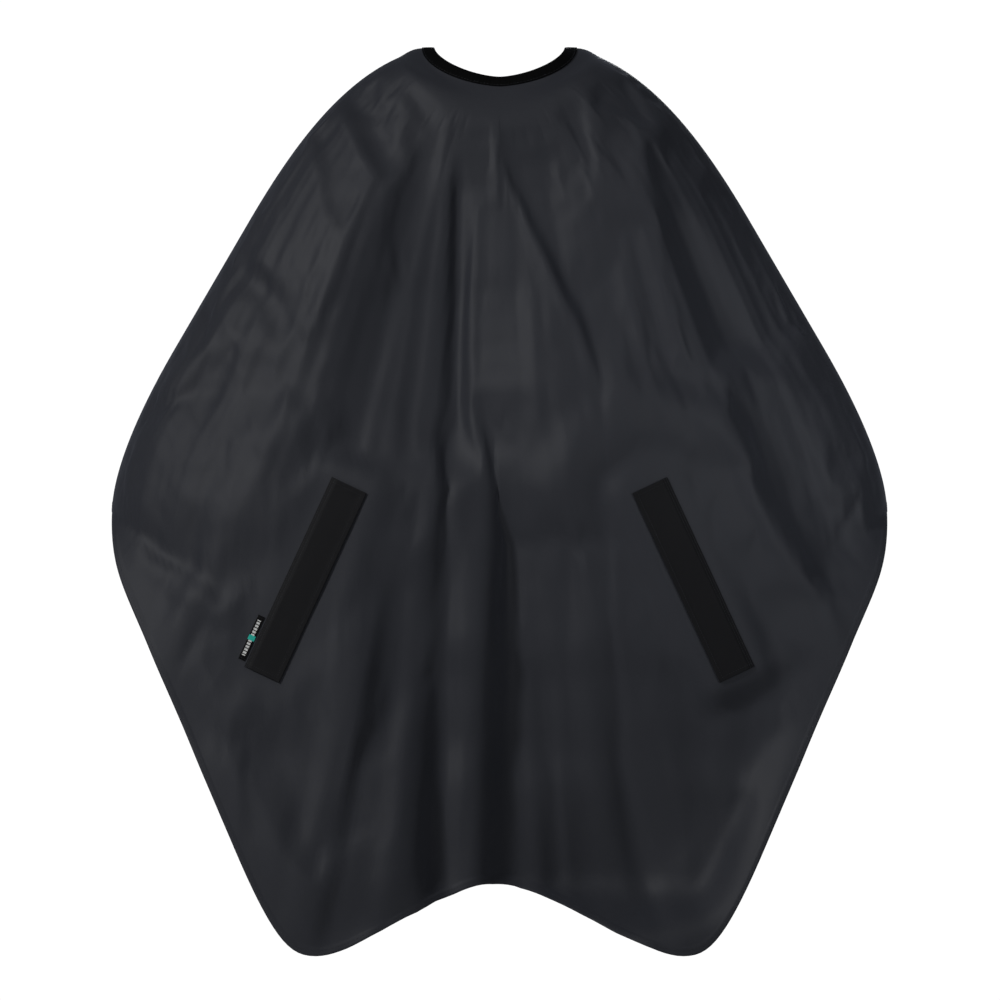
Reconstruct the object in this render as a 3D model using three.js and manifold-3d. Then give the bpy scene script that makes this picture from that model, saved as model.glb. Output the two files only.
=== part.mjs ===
// Barber cape with snap neck closure and two covered hand slits.
// It is draped as worn: arms held a little away from the body, front of the cape towards -Y, +Z up.
// The origin is the centre of the neck opening, level with its highest points at the wearer's sides.
// "left" is the -X side and "right" the +X side. Millimetres and degrees throughout.

import * as THREE from 'three';
import { mergeVertices } from 'three/addons/utils/BufferGeometryUtils.js';
import Module from 'manifold-3d';

// ---- Driving dimensions ------------------------------------------------------------------------

// Cloth and clearances
const CLOTH = 1.0;                 // panel thickness, seams included
const GAP = 0.3;                   // clearance between pieces that touch
const OPEN_EDGE = 0.5;             // how far a facing's slot stands back from the panel's slot

// Neck opening, at the top edge of the cloth
const NECK_HALF_WIDTH = 82.5;
const NECK_HALF_DEPTH = 62;
const NECK_FRONT_DIP = 38;
const NECK_BACK_DIP = 42;
const NECK_FRONT_ROUNDNESS = 1.6;  // superellipse powers of the neckline seen from the front
const NECK_BACK_ROUNDNESS = 2.6;
const NAPE_FLAT = 0.5;             // share of the nape that lies flat under the closure,
const NAPE_REACH = 100;            // fading out over this distance down the back
const COLLAR_SQUARE = 10;          // columns leave the neckline squarely for this distance,
const COLLAR_BEND = 35;            // and bend into their course over this one

// Arm line: the cape's outline from the neck over shoulder and arm to the hand
const COLLAR_X = 90.6;
const SHOULDER = [316.9, -222.5];
const ELBOW = [408.1, -378.8];
const HAND = [485.6, -581.3];
const COLLAR_SLOPE = -12.2;        // degrees
const ARM_SLOPE = -59.9;
const UPPER_ARM_PULLS = [100, 115]; // how far a curve keeps to its direction at each end
const FOREARM_PULLS = [125, 32];

// Front hem: from the hand down the flank to the lowest lobe and across to the centre
const FLANK_TOP = [-50, -172.5];   // from the hand
const FLANK_FOOT = [100, 129.4];   // from the lobe
const FLANK_SLOPE = -113.3;
const LOBE = [228.1, -1133.1];
const FRONT_HEM_Z = -1041.3;
const WRIST_PULLS = [72, 89];
const FLANK_PULLS = [129, 29];
const FRONT_HEM_PULLS = [55, 77];

// Back hem and back opening
const BACK_CORNER = [350, -748];
const BACK_HEM_Z = -415;
const BACK_SIDE_PULLS = [60, 90];
const BACK_HEM_PULLS = [130, 120];
const BACK_GAP_ANGLE = 6.5;        // half angle of the opening below the closure

// Depth of the draped cloth, front and back of the arm line
const CHEST_FULLNESS = 118;
const CHEST_REACH = 150;
const FRONT_FLARE = 0.022;
const BACK_FULLNESS = 60;
const BACK_REACH = 120;
const BACK_FLARE = 0.03;

// Neck binding tape
const TAPE = 0.9;
const BAND_HEIGHT = 13;

// Snap fasteners
const SNAP_PITCH = 16;
const SNAP_COUNT = 4;
const SNAPS_CLOSED = 2;
const FIRST_SNAP_X = -14;
const SNAP_CAP_RADIUS = 6;
const SNAP_CAP_HEIGHT = 1.2;
const SNAP_BODY_RADIUS = 5.2;
const STUD_BASE = 1.0;
const STUD_POST_RADIUS = 2.6;
const STUD_POST_HEIGHT = 1.9;
const SOCKET_FLOOR = 0.8;
const PRONG_RADIUS = 1.0;
const SNAP_SIDES = 16;

// Closure tab
const TAB_ROOT_X = 16;
const TAB_OVERHANG = 8;            // past the last closed snap
const TAB_THICKNESS = 1.8;
const TAB_SEAM = 3;                // flat strip at the sewn root
const TAB_RAMP = 15;               // rise from the band to the snaps

// Hand slits and what covers them
const SLIT_X = 240.9;
const SLIT_Z = -665.8;
const SLIT_TILT = 24.8;            // from vertical, tops towards the centre
const SLIT_LENGTH = 225;
const SLIT_WIDTH = 16;
const SLIT_SHIFT = 2;              // slit centre line from the flap's centre line, towards the front
const SLIT_CORNER = 7.7;
const FLAP_LENGTH = 260;
const FLAP_WIDTH = 49;
const FLAP_PLY = 1.2;
const FLAP_RISE = 2.5;             // clear height over the slit
const FLAP_SEAM = 8;
const FLAP_HEM_PLY = 0.8;
const FACING_LENGTH = 255;
const FACING_WIDTH = 40;
const FACING_PLY = 0.8;
const FACING_CORNER = 2;
const LABEL_LENGTH = 60;
const LABEL_WIDTH = 9;
const LABEL_PLY = 1.0;
const LABEL_GAP = 2.5;             // from the flap's sewn edge
const LABEL_DOWN = 94;             // label centre below the flap's centre, along the flap
const FLAT_MARGIN = 80;            // the cloth lies flat this far around a flap,
const FLAT_FADE = 60;              // and takes up the drape again over this distance

// Mesh fineness
const FRONT_COLUMNS = 28;          // per side
const BACK_COLUMNS = 11;           // per side
const ROWS = 15;
const ROW_GROWTH = 1.3;
const CURVE_STEPS = 60;
const SOLVER_STEPS = 40;
const SLOPE_STEP = 0.5;            // degrees and millimetres, for the cloth's direction at a point
const ARC_SEGMENTS = 5;            // per quarter turn of a corner

// ---- Small helpers -----------------------------------------------------------------------------

const DEG = Math.PI / 180;
const HALF_CLOTH = CLOTH / 2;
const BAND_FACE = HALF_CLOTH + GAP + TAPE;
const COLLAR_STRIP = BAND_HEIGHT + 3;
const WELD = 1e-4;                 // points nearer than this are one

const wasm = await Module();
wasm.setup();

function toSolid(geometry) {
  const bare = geometry.clone();
  bare.deleteAttribute('normal');
  bare.deleteAttribute('uv');
  const merged = mergeVertices(bare, WELD);
  const index = merged.index.array;
  return new wasm.Manifold(new wasm.Mesh({
    numProp: 3,
    vertProperties: new Float32Array(merged.attributes.position.array),
    triVerts: new Uint32Array(index),
  }));
}

function toGeometry(solid) {
  const mesh = solid.getMesh();
  const geometry = new THREE.BufferGeometry();
  geometry.setAttribute('position', new THREE.BufferAttribute(new Float32Array(mesh.vertProperties), 3));
  geometry.setIndex(new THREE.BufferAttribute(new Uint32Array(mesh.triVerts), 1));
  return geometry;
}

function cut(geometry, tools) {
  return toGeometry(tools.reduce((solid, tool) => solid.subtract(toSolid(tool)), toSolid(geometry)));
}

function indexed(points, triangles) {
  const geometry = new THREE.BufferGeometry();
  geometry.setAttribute('position', new THREE.Float32BufferAttribute(points.flatMap((p) => p.toArray()), 3));
  geometry.setIndex(triangles);
  return geometry;
}

function lookUp(table, key, value, x) {
  const rising = table[table.length - 1][key] > table[0][key];
  const rows = rising ? table : [...table].reverse();
  if (x <= rows[0][key]) return rows[0][value];
  for (let i = 1; i < rows.length; i += 1) {
    if (x <= rows[i][key]) {
      const share = (x - rows[i - 1][key]) / (rows[i][key] - rows[i - 1][key]);
      return rows[i - 1][value] + share * (rows[i][value] - rows[i - 1][value]);
    }
  }
  return rows[rows.length - 1][value];
}

function bisect(isBelow, low, high) {
  let a = low;
  let b = high;
  for (let i = 0; i < SOLVER_STEPS; i += 1) {
    const middle = (a + b) / 2;
    if (isBelow(middle)) a = middle;
    else b = middle;
  }
  return (a + b) / 2;
}

function smooth(x) {
  const t = Math.min(1, Math.max(0, x));
  return t * t * (3 - 2 * t);
}

// ---- Outline seen from the front ---------------------------------------------------------------

function bezier(from, fromAngle, to, toAngle, [fromPull, toPull]) {
  const start = new THREE.Vector2(...from);
  const end = new THREE.Vector2(...to);
  const leave = new THREE.Vector2(Math.cos(fromAngle * DEG), Math.sin(fromAngle * DEG));
  const arrive = new THREE.Vector2(Math.cos(toAngle * DEG), Math.sin(toAngle * DEG));
  return new THREE.CubicBezierCurve(
    start,
    start.clone().addScaledVector(leave, fromPull),
    end.clone().addScaledVector(arrive, -toPull),
    end,
  );
}

function straight(from, to) {
  return new THREE.LineCurve(new THREE.Vector2(...from), new THREE.Vector2(...to));
}

function polarTable(curves) {
  const points = curves.flatMap((curve) => curve.getPoints(CURVE_STEPS));
  return points.map((p) => ({ radius: p.length(), angle: Math.atan2(p.x, -p.y) / DEG }));
}

function offsetPoint(base, offset) {
  return [base[0] + offset[0], base[1] + offset[1]];
}

const flankTop = offsetPoint(HAND, FLANK_TOP);
const flankFoot = offsetPoint(LOBE, FLANK_FOOT);
const DOWN = -90;
const INWARD = -180;

const armLine = polarTable([
  bezier([COLLAR_X, 0], COLLAR_SLOPE, SHOULDER, ARM_SLOPE, UPPER_ARM_PULLS),
  straight(SHOULDER, ELBOW),
  bezier(ELBOW, ARM_SLOPE, HAND, DOWN, FOREARM_PULLS),
]);
const frontHem = polarTable([
  bezier(HAND, DOWN, flankTop, FLANK_SLOPE, WRIST_PULLS),
  straight(flankTop, flankFoot),
  bezier(flankFoot, FLANK_SLOPE, LOBE, INWARD, FLANK_PULLS),
  bezier(LOBE, INWARD, [0, FRONT_HEM_Z], INWARD, FRONT_HEM_PULLS),
]);
const backHem = polarTable([
  bezier(HAND, DOWN, BACK_CORNER, INWARD, BACK_SIDE_PULLS),
  bezier(BACK_CORNER, INWARD, [0, BACK_HEM_Z], INWARD, BACK_HEM_PULLS),
]);

// ---- The draped surface ------------------------------------------------------------------------
// A column is an angle from 0 (front centre) through 90 (arm line) to 180 (back opening), on the left
// (side -1) or right (side 1). Along a column the radius runs from the neckline to the hem.

function columnAngle(column, radius) {
  const arm = radius <= armLine[0].radius ? 90 : lookUp(armLine, 'radius', 'angle', radius);
  const start = column > 90 ? BACK_GAP_ANGLE : 0;
  return start + (arm - start) * Math.sin(column * DEG);
}

function necklineRadius(column) {
  const back = column > 90;
  const dip = back ? NECK_BACK_DIP : NECK_FRONT_DIP;
  const power = back ? NECK_BACK_ROUNDNESS : NECK_FRONT_ROUNDNESS;
  const angle = columnAngle(column, 0) * DEG;
  const across = Math.pow(Math.abs(Math.sin(angle)) / NECK_HALF_WIDTH, power);
  const down = Math.pow(Math.abs(Math.cos(angle)) / dip, power);
  return Math.pow(across + down, -1 / power);
}

function hemRadius(column) {
  const hem = column > 90 ? backHem : frontHem;
  const farthest = Math.max(...hem.map((row) => row.radius));
  return bisect((r) => lookUp(hem, 'angle', 'radius', columnAngle(column, r)) > r, 0, farthest + 1);
}

function frontDepth(radius) {
  const below = radius - NECK_FRONT_DIP;
  return NECK_HALF_DEPTH + CHEST_FULLNESS * (1 - Math.exp(-below / CHEST_REACH)) + FRONT_FLARE * below;
}

function backDepth(z) {
  const below = -z - NECK_BACK_DIP;
  return NECK_HALF_DEPTH + BACK_FULLNESS * (1 - Math.exp(-below / BACK_REACH)) + BACK_FLARE * below;
}

function napeShare(column, radius) {
  const flat = NAPE_FLAT * Math.exp(-(((radius - NECK_BACK_DIP) / NAPE_REACH) ** 2));
  const across = Math.max(0, (Math.sin(column * DEG) - flat) / (1 - flat));
  return Math.sqrt(Math.max(0, 1 - across * across));
}

function polarPoint(column, radius) {
  const angle = columnAngle(column, radius) * DEG;
  return new THREE.Vector2(radius * Math.sin(angle), -radius * Math.cos(angle));
}

// Beside the neck opening a column leaves square to the neckline, and then bends into its polar course.
function frontView(column, radius) {
  const start = necklineRadius(column);
  const edge = polarPoint(column, start);
  const back = column > 90;
  const dip = back ? NECK_BACK_DIP : NECK_FRONT_DIP;
  const power = back ? NECK_BACK_ROUNDNESS : NECK_FRONT_ROUNDNESS;
  const across = Math.pow(Math.max(0, edge.x), power - 1) / Math.pow(NECK_HALF_WIDTH, power);
  const down = Math.pow(Math.max(0, -edge.y), power - 1) / Math.pow(dip, power);
  const square = new THREE.Vector2(across, -down).normalize();
  const bend = smooth((radius - start - COLLAR_SQUARE) / COLLAR_BEND);
  return edge.addScaledVector(square, radius - start).lerp(polarPoint(column, radius), bend);
}

function drapedPoint(side, column, radius) {
  const { x, y: z } = frontView(column, radius);
  const y = column > 90
    ? backDepth(z) * napeShare(column, radius)
    : -frontDepth(radius) * Math.cos(column * DEG);
  return new THREE.Vector3(side * x, y, z);
}

function normalOf(pointAt, side, column, radius) {
  const across = pointAt(side, Math.min(180, column + SLOPE_STEP), radius)
    .sub(pointAt(side, Math.max(0, column - SLOPE_STEP), radius));
  const down = pointAt(side, column, radius + SLOPE_STEP).sub(pointAt(side, column, radius - SLOPE_STEP));
  return across.cross(down).multiplyScalar(-side).normalize();
}

// Flat frame of a hand slit: origin on the middle of the cloth, across points towards the front centre
// and out away from the wearer. It is right-handed, so along points up on one side and down on the other.
function slitFrame(side) {
  const radius = Math.hypot(SLIT_X, SLIT_Z);
  const angle = Math.atan2(SLIT_X, -SLIT_Z) / DEG;
  const column = Math.asin(angle / columnAngle(90, radius)) / DEG;
  const origin = drapedPoint(side, column, radius);
  const out = normalOf(drapedPoint, side, column, radius);
  const lean = SLIT_TILT * DEG;
  const seen = new THREE.Vector3(-side * Math.sin(lean), 0, Math.cos(lean));
  const up = seen.setY(-(seen.x * out.x + seen.z * out.z) / out.y).normalize();
  const across = new THREE.Vector3().crossVectors(up, out);
  across.multiplyScalar(-side * Math.sign(across.x)).normalize();
  const along = new THREE.Vector3().crossVectors(out, across);
  return { origin, across, along, out, upSign: Math.sign(along.dot(up)) };
}

const slits = [-1, 1].map(slitFrame);

// Around each flap the cloth is drawn into the flap's plane.
function clothPoint(side, column, radius) {
  const point = drapedPoint(side, column, radius);
  if (column > 90) return point;
  const frame = slits[side < 0 ? 0 : 1];
  const away = point.clone().sub(frame.origin);
  const beyondSide = Math.max(0, Math.abs(away.dot(frame.across)) - FLAP_WIDTH / 2);
  const beyondEnd = Math.max(0, Math.abs(away.dot(frame.along)) - FLAP_LENGTH / 2);
  const beyond = Math.hypot(beyondSide, beyondEnd);
  const hold = 1 - smooth((beyond - FLAT_MARGIN) / FLAT_FADE);
  return point.addScaledVector(frame.out, -hold * away.dot(frame.out));
}

// ---- Columns of the cape from the left back edge round the front to the right back edge --------

function columnList() {
  const list = [];
  for (let i = BACK_COLUMNS; i > 0; i -= 1) list.push([-1, 90 + (90 * i) / BACK_COLUMNS]);
  for (let i = FRONT_COLUMNS; i > 0; i -= 1) list.push([-1, (90 * i) / FRONT_COLUMNS]);
  for (let i = 0; i < FRONT_COLUMNS; i += 1) list.push([1, (90 * i) / FRONT_COLUMNS]);
  for (let i = 0; i <= BACK_COLUMNS; i += 1) list.push([1, 90 + (90 * i) / BACK_COLUMNS]);
  return list;
}

const columns = columnList();

// The strip under the neck binding is straight down each column, so the binding lies evenly on it.
function collarFrame(side, column) {
  const start = necklineRadius(column);
  const top = clothPoint(side, column, start);
  const foot = clothPoint(side, column, start + COLLAR_STRIP);
  const down = foot.clone().sub(top).normalize();
  const normal = normalOf(clothPoint, side, column, start + COLLAR_STRIP / 2);
  const out = normal.addScaledVector(down, -normal.dot(down)).normalize();
  return { top, down, out };
}

function makePanelShell() {
  const points = [];
  const triangles = [];
  columns.forEach(([side, column]) => {
    const start = necklineRadius(column);
    const end = hemRadius(column);
    const collar = collarFrame(side, column);
    for (let row = 0; row <= ROWS; row += 1) {
      const share = Math.max(0, row - 1) / (ROWS - 1);
      const radius = start + COLLAR_STRIP + (end - start - COLLAR_STRIP) * Math.pow(share, ROW_GROWTH);
      const point = row < 2
        ? collar.top.clone().addScaledVector(collar.down, row * BAND_HEIGHT)
        : clothPoint(side, column, radius);
      const out = row < 2 ? collar.out : normalOf(clothPoint, side, column, radius);
      points.push(point.clone().addScaledVector(out, HALF_CLOTH), point.addScaledVector(out, -HALF_CLOTH));
    }
  });
  const perColumn = 2 * (ROWS + 1);
  const at = (column, row, inner) => column * perColumn + 2 * row + inner;
  const quad = (a, b, c, d) => triangles.push(a, b, c, a, c, d);
  const last = columns.length - 1;
  for (let c = 0; c < last; c += 1) {
    for (let r = 0; r < ROWS; r += 1) {
      quad(at(c, r, 0), at(c, r + 1, 0), at(c + 1, r + 1, 0), at(c + 1, r, 0));
      quad(at(c, r, 1), at(c + 1, r, 1), at(c + 1, r + 1, 1), at(c, r + 1, 1));
    }
    quad(at(c, 0, 0), at(c + 1, 0, 0), at(c + 1, 0, 1), at(c, 0, 1));
    quad(at(c, ROWS, 0), at(c, ROWS, 1), at(c + 1, ROWS, 1), at(c + 1, ROWS, 0));
  }
  for (let r = 0; r < ROWS; r += 1) {
    quad(at(0, r, 0), at(0, r, 1), at(0, r + 1, 1), at(0, r + 1, 0));
    quad(at(last, r, 0), at(last, r + 1, 0), at(last, r + 1, 1), at(last, r, 1));
  }
  return indexed(points, triangles);
}

// ---- Solids placed in a flat frame -------------------------------------------------------------

function placeIn(geometry, xAxis, yAxis, zAxis, origin) {
  return geometry.applyMatrix4(new THREE.Matrix4().makeBasis(xAxis, yAxis, zAxis).setPosition(origin));
}

// Local x, y and z become the frame's across, along and out.
function placeOnSlit(geometry, frame) {
  return placeIn(geometry, frame.across, frame.along, frame.out, frame.origin);
}

function outline(points) {
  return new THREE.Shape(points.map(([x, y]) => new THREE.Vector2(x, y)));
}

function roundedRectangle(width, length, radius, centreX = 0) {
  const [x0, x1] = [centreX - width / 2, centreX + width / 2];
  const [y0, y1] = [-length / 2, length / 2];
  const shape = new THREE.Shape();
  shape.moveTo(x0 + radius, y0);
  shape.lineTo(x1 - radius, y0);
  shape.absarc(x1 - radius, y0 + radius, radius, -Math.PI / 2, 0);
  shape.lineTo(x1, y1 - radius);
  shape.absarc(x1 - radius, y1 - radius, radius, 0, Math.PI / 2);
  shape.lineTo(x0 + radius, y1);
  shape.absarc(x0 + radius, y1 - radius, radius, Math.PI / 2, Math.PI);
  shape.lineTo(x0, y0 + radius);
  shape.absarc(x0 + radius, y0 + radius, radius, Math.PI, 1.5 * Math.PI);
  return shape;
}

function slab(shape, from, to, curveSegments = ARC_SEGMENTS) {
  return new THREE.ExtrudeGeometry(shape, { depth: to - from, bevelEnabled: false, curveSegments })
    .translate(0, 0, from);
}

// ---- Neck binding ------------------------------------------------------------------------------

// The tape folded over the cloth's edge: x runs down from that edge and y out from the cloth's middle.
function bandSection() {
  const inside = HALF_CLOTH + GAP;
  const fold = -GAP - TAPE;
  const chamfer = TAPE;
  return outline([
    [BAND_HEIGHT, inside], [BAND_HEIGHT, BAND_FACE], [fold + chamfer, BAND_FACE],
    [fold, BAND_FACE - chamfer], [fold, -BAND_FACE + chamfer], [fold + chamfer, -BAND_FACE],
    [BAND_HEIGHT, -BAND_FACE], [BAND_HEIGHT, -inside], [-GAP, -inside], [-GAP, inside],
  ]);
}

function makeNeckband() {
  const section = bandSection().getPoints();
  const count = section.length;
  const points = [];
  const triangles = [];
  columns.forEach(([side, column]) => {
    const { top, down, out } = collarFrame(side, column);
    section.forEach((p) => points.push(top.clone().addScaledVector(down, p.x).addScaledVector(out, p.y)));
  });
  for (let c = 0; c < columns.length - 1; c += 1) {
    for (let i = 0; i < count; i += 1) {
      const [a, b] = [c * count + i, c * count + ((i + 1) % count)];
      if (section[i].y > 0) triangles.push(a, b + count, b, a, a + count, b + count);
      else triangles.push(a, a + count, b, b, a + count, b + count);
    }
  }
  const end = (columns.length - 1) * count;
  THREE.ShapeUtils.triangulateShape(section, []).forEach(([a, b, c]) => {
    triangles.push(a, b, c, end + a, end + c, end + b);
  });
  return indexed(points, triangles);
}

// ---- Snap closure at the nape ------------------------------------------------------------------

// Frame on the binding's middle line at a given x near the centre back. Local x runs to the right, y out
// from the neck and z up the binding.
function napeFrame(x) {
  const side = Math.sign(x);
  const column = bisect((c) => {
    const radius = necklineRadius(c);
    return clothPoint(side, c, radius).x * side > Math.abs(x);
  }, 90, 180);
  const { top, down, out } = collarFrame(side, column);
  const up = down.clone().negate();
  return {
    origin: top.clone().addScaledVector(down, BAND_HEIGHT / 2),
    along: new THREE.Vector3().crossVectors(out, up).normalize(),
    out,
    up,
  };
}

const snapXs = Array.from({ length: SNAP_COUNT }, (_, i) => FIRST_SNAP_X - i * SNAP_PITCH);
const closure = napeFrame(FIRST_SNAP_X - SNAP_PITCH / 2);

// The closed snaps share the closure's flat plane, and the spare ones follow the binding's curve.
function snapFrame(x, index) {
  const own = napeFrame(x);
  if (index >= SNAPS_CLOSED) return own;
  const proud = own.origin.clone().sub(closure.origin).dot(closure.out);
  return { ...closure, origin: own.origin.addScaledVector(closure.out, -proud) };
}

const snapFrames = snapXs.map(snapFrame);

function placeAtNape(geometry, frame, out) {
  return placeIn(geometry, frame.along, frame.out, frame.up, frame.origin.clone().addScaledVector(frame.out, out));
}

// Stack of a closed snap, outwards from the middle of the cloth
const STUD_SEAT = BAND_FACE + GAP;
const STUD_TOP = STUD_SEAT + STUD_BASE + STUD_POST_HEIGHT;
const SOCKET_SEAT = STUD_SEAT + STUD_BASE + GAP;
const SOCKET_WELL = STUD_POST_HEIGHT;
const SOCKET_TOP = SOCKET_SEAT + SOCKET_WELL + SOCKET_FLOOR;
const TAB_FACE = SOCKET_TOP + GAP;
const TAB_TOP = TAB_FACE + TAB_THICKNESS;
const INNER_CAP_SEAT = BAND_FACE + 2 * GAP;
const PRONG_HOLE = PRONG_RADIUS + GAP;
const PRONG_END = 2 * GAP;         // how far a prong stops short of its hole's far end
const EDGE_BREAK = 0.4;

function lathe(profile) {
  return new THREE.LatheGeometry(profile.map(([x, y]) => new THREE.Vector2(x, y)), SNAP_SIDES);
}

function studGeometry() {
  const post = STUD_BASE + STUD_POST_HEIGHT;
  return lathe([
    [PRONG_HOLE, 0], [SNAP_BODY_RADIUS, 0], [SNAP_BODY_RADIUS, STUD_BASE - EDGE_BREAK],
    [SNAP_BODY_RADIUS - EDGE_BREAK, STUD_BASE], [STUD_POST_RADIUS - EDGE_BREAK / 2, STUD_BASE],
    [STUD_POST_RADIUS, post - EDGE_BREAK], [STUD_POST_RADIUS - EDGE_BREAK, post], [PRONG_HOLE, post],
    [PRONG_HOLE, 0],
  ]);
}

function socketGeometry() {
  const well = STUD_POST_RADIUS + GAP;
  const height = SOCKET_WELL + SOCKET_FLOOR;
  return lathe([
    [well, 0], [SNAP_BODY_RADIUS - EDGE_BREAK, 0], [SNAP_BODY_RADIUS, EDGE_BREAK],
    [SNAP_BODY_RADIUS, height], [PRONG_HOLE, height], [PRONG_HOLE, SOCKET_WELL], [well, SOCKET_WELL],
    [well, 0],
  ]);
}

function capGeometry(prong) {
  return lathe([
    [0, -prong], [PRONG_RADIUS, -prong], [PRONG_RADIUS, 0], [SNAP_CAP_RADIUS - EDGE_BREAK, 0],
    [SNAP_CAP_RADIUS, EDGE_BREAK], [SNAP_CAP_RADIUS - EDGE_BREAK, SNAP_CAP_HEIGHT - EDGE_BREAK / 2],
    [SNAP_CAP_RADIUS / 2, SNAP_CAP_HEIGHT], [0, SNAP_CAP_HEIGHT],
  ]);
}

function makeInnerCap(frame) {
  const prong = INNER_CAP_SEAT + STUD_TOP - PRONG_END;
  const inward = { ...frame, out: frame.out.clone().negate(), up: frame.up.clone().negate() };
  return placeAtNape(capGeometry(prong), inward, INNER_CAP_SEAT);
}

function makeOuterCap(frame) {
  const prong = TAB_TOP + GAP - STUD_TOP - PRONG_END - GAP;
  return placeAtNape(capGeometry(prong), frame, TAB_TOP + GAP);
}

function prongHole(frame, from, to) {
  const hole = new THREE.CylinderGeometry(PRONG_HOLE, PRONG_HOLE, to - from, SNAP_SIDES)
    .translate(0, (from + to) / 2, 0);
  return placeAtNape(hole, frame, 0);
}

const bandHoles = snapFrames.map((frame) => prongHole(frame, -2 * BAND_FACE, 2 * BAND_FACE));

// The tab is sewn down at its root on the right end of the binding and rises over the closed snaps.
function makeClosureTab() {
  const middle = closure.origin.x;
  const root = TAB_ROOT_X - middle;
  const rise = root - TAB_SEAM;
  const level = rise - TAB_RAMP;
  const tip = snapXs[SNAPS_CLOSED - 1] - middle - TAB_OVERHANG;
  const profile = outline([
    [root, STUD_SEAT], [root, STUD_SEAT + TAB_THICKNESS], [rise, STUD_SEAT + TAB_THICKNESS],
    [level, TAB_TOP], [tip, TAB_TOP], [tip, TAB_FACE], [level, TAB_FACE], [rise, STUD_SEAT],
  ]);
  const half = BAND_HEIGHT / 2;
  const plan = new THREE.Shape();
  plan.moveTo(root, -half);
  plan.lineTo(root, half);
  plan.lineTo(tip + half, half);
  plan.absarc(tip + half, 0, half, Math.PI / 2, 1.5 * Math.PI);
  const side = slab(profile, -BAND_HEIGHT, BAND_HEIGHT);
  const cover = slab(plan, -2 * TAB_TOP, 2 * TAB_TOP).rotateX(-Math.PI / 2);
  const blank = toGeometry(toSolid(side).intersect(toSolid(cover)));
  const holes = snapFrames.slice(0, SNAPS_CLOSED).map((frame) => prongHole(frame, 0, 2 * TAB_TOP));
  return cut(placeAtNape(blank, closure, 0), holes);
}

// ---- Hand slits, facings, flaps and the woven label --------------------------------------------

function slitTool(frame) {
  const shape = roundedRectangle(SLIT_WIDTH, SLIT_LENGTH, SLIT_CORNER, SLIT_SHIFT);
  return placeOnSlit(slab(shape, -2 * CLOTH, 2 * CLOTH), frame);
}

function makeSlitFacing(frame) {
  const shape = roundedRectangle(FACING_WIDTH, FACING_LENGTH, FACING_CORNER, SLIT_SHIFT);
  const hole = roundedRectangle(
    SLIT_WIDTH + 2 * OPEN_EDGE,
    SLIT_LENGTH + 2 * OPEN_EDGE,
    SLIT_CORNER,
    SLIT_SHIFT,
  );
  shape.holes.push(hole);
  const face = -HALF_CLOTH - GAP;
  return placeOnSlit(slab(shape, face - FACING_PLY, face), frame);
}

const FLAP_SEAT = HALF_CLOTH + GAP;
const FLAP_UNDERSIDE = HALF_CLOTH + FLAP_RISE;
const FLAP_FACE = FLAP_UNDERSIDE + FLAP_PLY;

// The long edge farther from the front centre is sewn down, and the other is free and hemmed.
function makeHandFlap(frame) {
  const [sewn, free] = [-FLAP_WIDTH / 2, FLAP_WIDTH / 2];
  const hemUnderside = FLAP_UNDERSIDE - FLAP_HEM_PLY;
  const section = outline([
    [sewn, FLAP_SEAT], [sewn + FLAP_SEAM, FLAP_SEAT], [sewn + FLAP_SEAM, FLAP_UNDERSIDE],
    [free - FLAP_SEAM, FLAP_UNDERSIDE], [free - FLAP_SEAM, hemUnderside], [free, hemUnderside],
    [free, FLAP_FACE], [sewn + FLAP_SEAM, FLAP_FACE], [sewn, FLAP_SEAT + FLAP_PLY],
  ]);
  const flap = slab(section, -FLAP_LENGTH / 2, FLAP_LENGTH / 2).rotateX(Math.PI / 2);
  return placeOnSlit(flap, frame);
}

function makeSideLabel(frame) {
  const right = -FLAP_WIDTH / 2 - LABEL_GAP;
  const middle = -LABEL_DOWN * frame.upSign;
  const shape = outline([
    [right - LABEL_WIDTH, middle - LABEL_LENGTH / 2], [right, middle - LABEL_LENGTH / 2],
    [right, middle + LABEL_LENGTH / 2], [right - LABEL_WIDTH, middle + LABEL_LENGTH / 2],
  ]);
  return placeOnSlit(slab(shape, FLAP_SEAT, FLAP_SEAT + LABEL_PLY), frame);
}

// ---- Assembly ----------------------------------------------------------------------------------

const fabric = (color) => new THREE.MeshStandardMaterial({ color, roughness: 0.6, metalness: 0 });
const charcoalCloth = fabric(0x2d2e33);
const blackCloth = fabric(0x17171a);
const blackTape = fabric(0x050506);
const labelCloth = fabric(0x101012);
const snapPlastic = new THREE.MeshStandardMaterial({ color: 0x111113, roughness: 0.35, metalness: 0 });

const cape = new THREE.Group();

function addPiece(name, geometry, material) {
  geometry.computeVertexNormals();
  const mesh = new THREE.Mesh(geometry, material);
  mesh.name = name;
  cape.add(mesh);
}

addPiece('cape_panel', cut(makePanelShell(), [...slits.map(slitTool), ...bandHoles]), charcoalCloth);
addPiece('neckband', cut(makeNeckband(), bandHoles), blackTape);
addPiece('closure_tab', makeClosureTab(), blackTape);
snapFrames.forEach((frame, i) => {
  addPiece(`snap_stud_${i + 1}`, placeAtNape(studGeometry(), frame, STUD_SEAT), snapPlastic);
  addPiece(`snap_inner_cap_${i + 1}`, makeInnerCap(frame), snapPlastic);
});
snapFrames.slice(0, SNAPS_CLOSED).forEach((frame, i) => {
  addPiece(`snap_socket_${i + 1}`, placeAtNape(socketGeometry(), frame, SOCKET_SEAT), snapPlastic);
  addPiece(`snap_outer_cap_${i + 1}`, makeOuterCap(frame), snapPlastic);
});
['left', 'right'].forEach((name, i) => {
  addPiece(`${name}_slit_facing`, makeSlitFacing(slits[i]), blackCloth);
  addPiece(`${name}_hand_flap`, makeHandFlap(slits[i]), blackCloth);
});
addPiece('side_label', makeSideLabel(slits[0]), labelCloth);

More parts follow.
